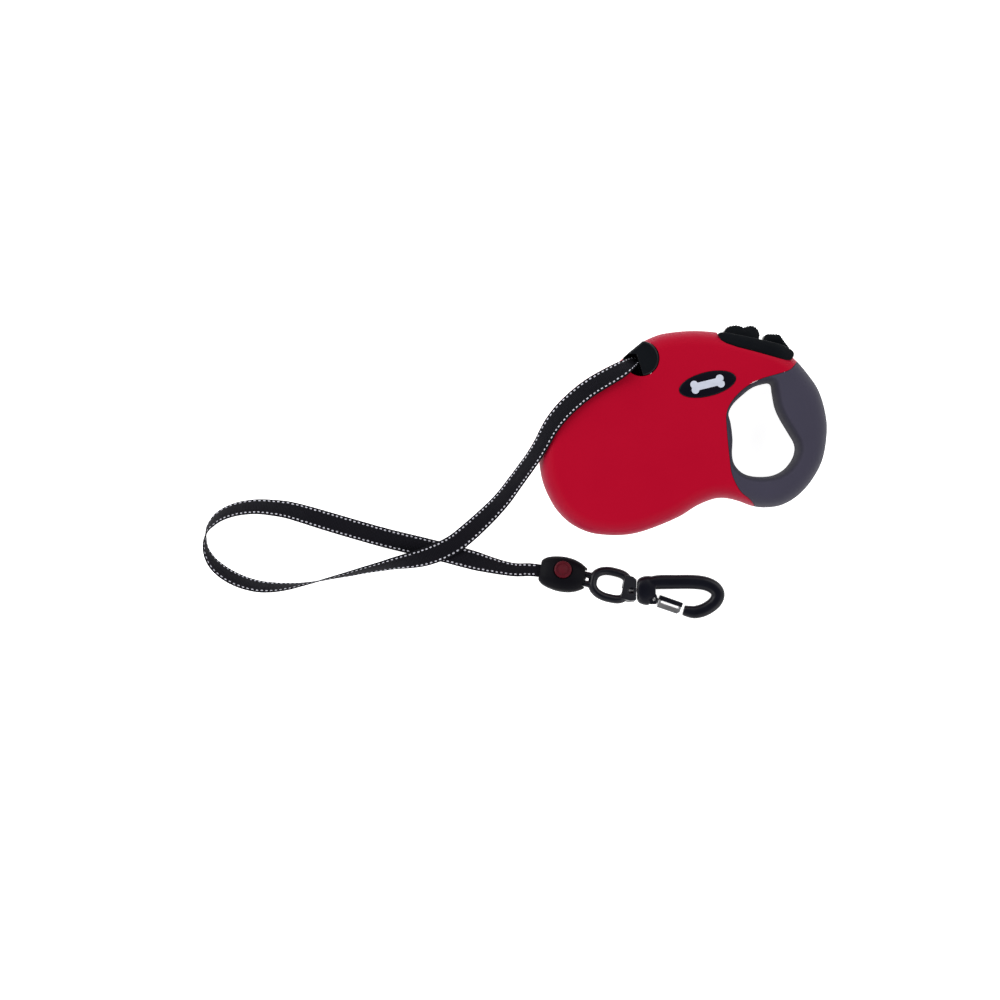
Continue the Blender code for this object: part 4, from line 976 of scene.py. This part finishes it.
def make_hook(looks):
    """The swivelling snap hook, and its steel gate with a dark bar along the inside, which paints the shade
    on the gate's upper rail.
    """
    metal = looks["black_metal"]
    bell = [(0.0, 6.2, 4.0), (1.0, 8.4, 4.7), (3.5, 9.9, 5.0), (7.0, 10.6, 5.0), (10.5, 10.4, 4.6),
            (13.4, 9.4, 4.2)]
    place = Matrix.Translation(HOOK)
    sections = spline(bell, False, 20)
    rings = [placed(place, [(s[0], y, z) for y, z in squircle(s[1], s[2], 60)]) for s in sections]
    hook = new_object("snap_hook", *loft(rings), metal)
    boolean(hook, helper(new_object("hook_arm", *hook_arm(90, 32), metal)), "UNION")
    boolean(hook, helper(rod("rivet_hole", place, [(-3, 2.0), (6.2, 2.0)], metal, count=24)))
    ear = Matrix.Translation(GATE_PIVOT)
    ears = [(-3.4, -3.6), (1.6, -3.6), (2.6, 0.0), (1.6, 3.4), (-3.4, 3.4)]
    rings = [placed(ear, [(x, y, z) for x, y in ears]) for z in (-4.2, 4.2)]
    boolean(hook, helper(new_object("gate_ears", *loft(rings), metal)), "UNION")
    boolean(hook, helper(box("ear_slot", ear, (-3.8, -7.0, -2.4), (8, 7.0, 2.4), metal)))
    boolean(hook, helper(stacked("gate_pin_hole", [(1.15, -3.0), (1.15, 15.0)], GATE_PIVOT, metal)))
    finish_piece(cast(hook, 0.36, 4), "hook", "black_metal", "hook_body", angle=60)

    frame_g = frame_along(GATE_PIVOT, (math.cos(GATE_YAW), math.sin(GATE_YAW), 0))
    loop = [(3.2, -4.8), (18.6, -4.8), (20.4, -3.0), (20.4, 4.1), (3.2, 4.1)]
    rings = [placed(frame_g, [(x, y, z) for x, y in loop]) for z in (-3.8, 3.8)]
    steel = looks["steel"]
    gate = new_object("sprung_gate", *loft(rings), steel)
    boolean(gate, helper(box("gate_root", frame_g, (-1.9, -1.9, -1.2), (5.0, 1.9, 1.2), steel)), "UNION")
    boolean(gate, helper(box("gate_slot", frame_g, (5.2, -0.6, -9), (18.2, 0.6, 9), steel)))
    boolean(gate, helper(stacked("gate_eye", [(1.15, -3.0), (1.15, 15.0)], GATE_PIVOT, steel)))
    finish_piece(cast(gate, 0.22, 4), "gate", "steel", "hook_gate", angle=60)
    # Painted shade: a dark black-metal bar over the gate's upper rail, beside its slot, stands in for the
    # shade that falls on it.
    bar = box("gate_shade_bar", frame_g, (3.0, 0.7, -4.0), (20.6, 4.3, 4.0), metal)
    finish_piece(bevel(bar, 0.7, segments=3), "gate", "black_metal")
    return hook, gate, bar


def make_stage():
    """A floor that glows enough to come out white, a soft white sky, four soft lamps and the camera."""
    pale = stuff("pale_floor", (0.93, 0.93, 0.93), 0.9, vary=0.01, bump=0.02, spec=0.1)
    corners = ((-1, -1), (1, -1), (1, 1), (-1, 1))
    floor = new_object("floor", [(6000 * x, 6000 * y, -0.3) for x, y in corners], [(0, 1, 2, 3)], pale)
    glow = floor.data.materials[0].node_tree.nodes["Principled BSDF"]
    glow.inputs["Emission Color"].default_value = (1, 1, 1, 1)
    glow.inputs["Emission Strength"].default_value = 0.88
    world = bpy.data.worlds.new("studio")
    bpy.context.scene.world = world
    world.use_nodes = True
    nodes, links = world.node_tree.nodes, world.node_tree.links
    sky = nodes.new("ShaderNodeTexCoord")
    parts = nodes.new("ShaderNodeSeparateXYZ")
    span = nodes.new("ShaderNodeMapRange")
    links.new(sky.outputs["Generated"], parts.inputs["Vector"])
    links.new(parts.outputs["Z"], span.inputs["Value"])
    for name, value in (("From Min", 0.62), ("From Max", 0.96), ("To Min", 1.15), ("To Max", 0.1)):
        span.inputs[name].default_value = value
    links.new(span.outputs["Result"], nodes["Background"].inputs["Strength"])
    nodes["Background"].inputs["Color"].default_value = (1, 1, 1, 1)
    for x, y, power in ((-1.3, 0.9, 20), (1.2, 1.0, 13), (1.2, -1.2, 9), (-1.2, -1.2, 9)):
        lamp = bpy.data.lights.new("softbox", "AREA")
        lamp.size = 1.3
        lamp.energy = power
        light = bpy.data.objects.new("softbox", lamp)
        light.location = (x - 0.05, y, 1.25)
        light.rotation_euler = (Vector((-0.05, 0, 0)) - light.location).to_track_quat("-Z", "Y").to_euler()
        bpy.context.scene.collection.objects.link(light)
    camera = bpy.data.cameras.new("camera")
    camera.sensor_width = 36.0
    camera.lens = 36.0 * CAMERA_HEIGHT / VIEW_WIDTH
    eye = bpy.data.objects.new("camera", camera)
    eye.location = Vector((*VIEW_CENTRE, CAMERA_HEIGHT + 22.0)) * MM
    bpy.context.scene.collection.objects.link(eye)
    bpy.context.scene.camera = eye
    bpy.context.scene.view_settings.view_transform = "Standard"


def main():
    looks = make_looks()
    dress_frame(looks)
    make_stage()
    tape, sewn, centres = make_tapes(looks)
    make_shells(looks)
    make_grips(looks)
    make_badges(looks)
    make_nozzle(looks)
    make_brake(looks)
    collar, button = make_collar(looks)
    link = make_link(looks)
    hook, gate, bar = make_hook(looks)
    for obj in list(bpy.data.objects):
        if obj.get("tool"):
            bpy.data.objects.remove(obj, do_unlink=True)


main()
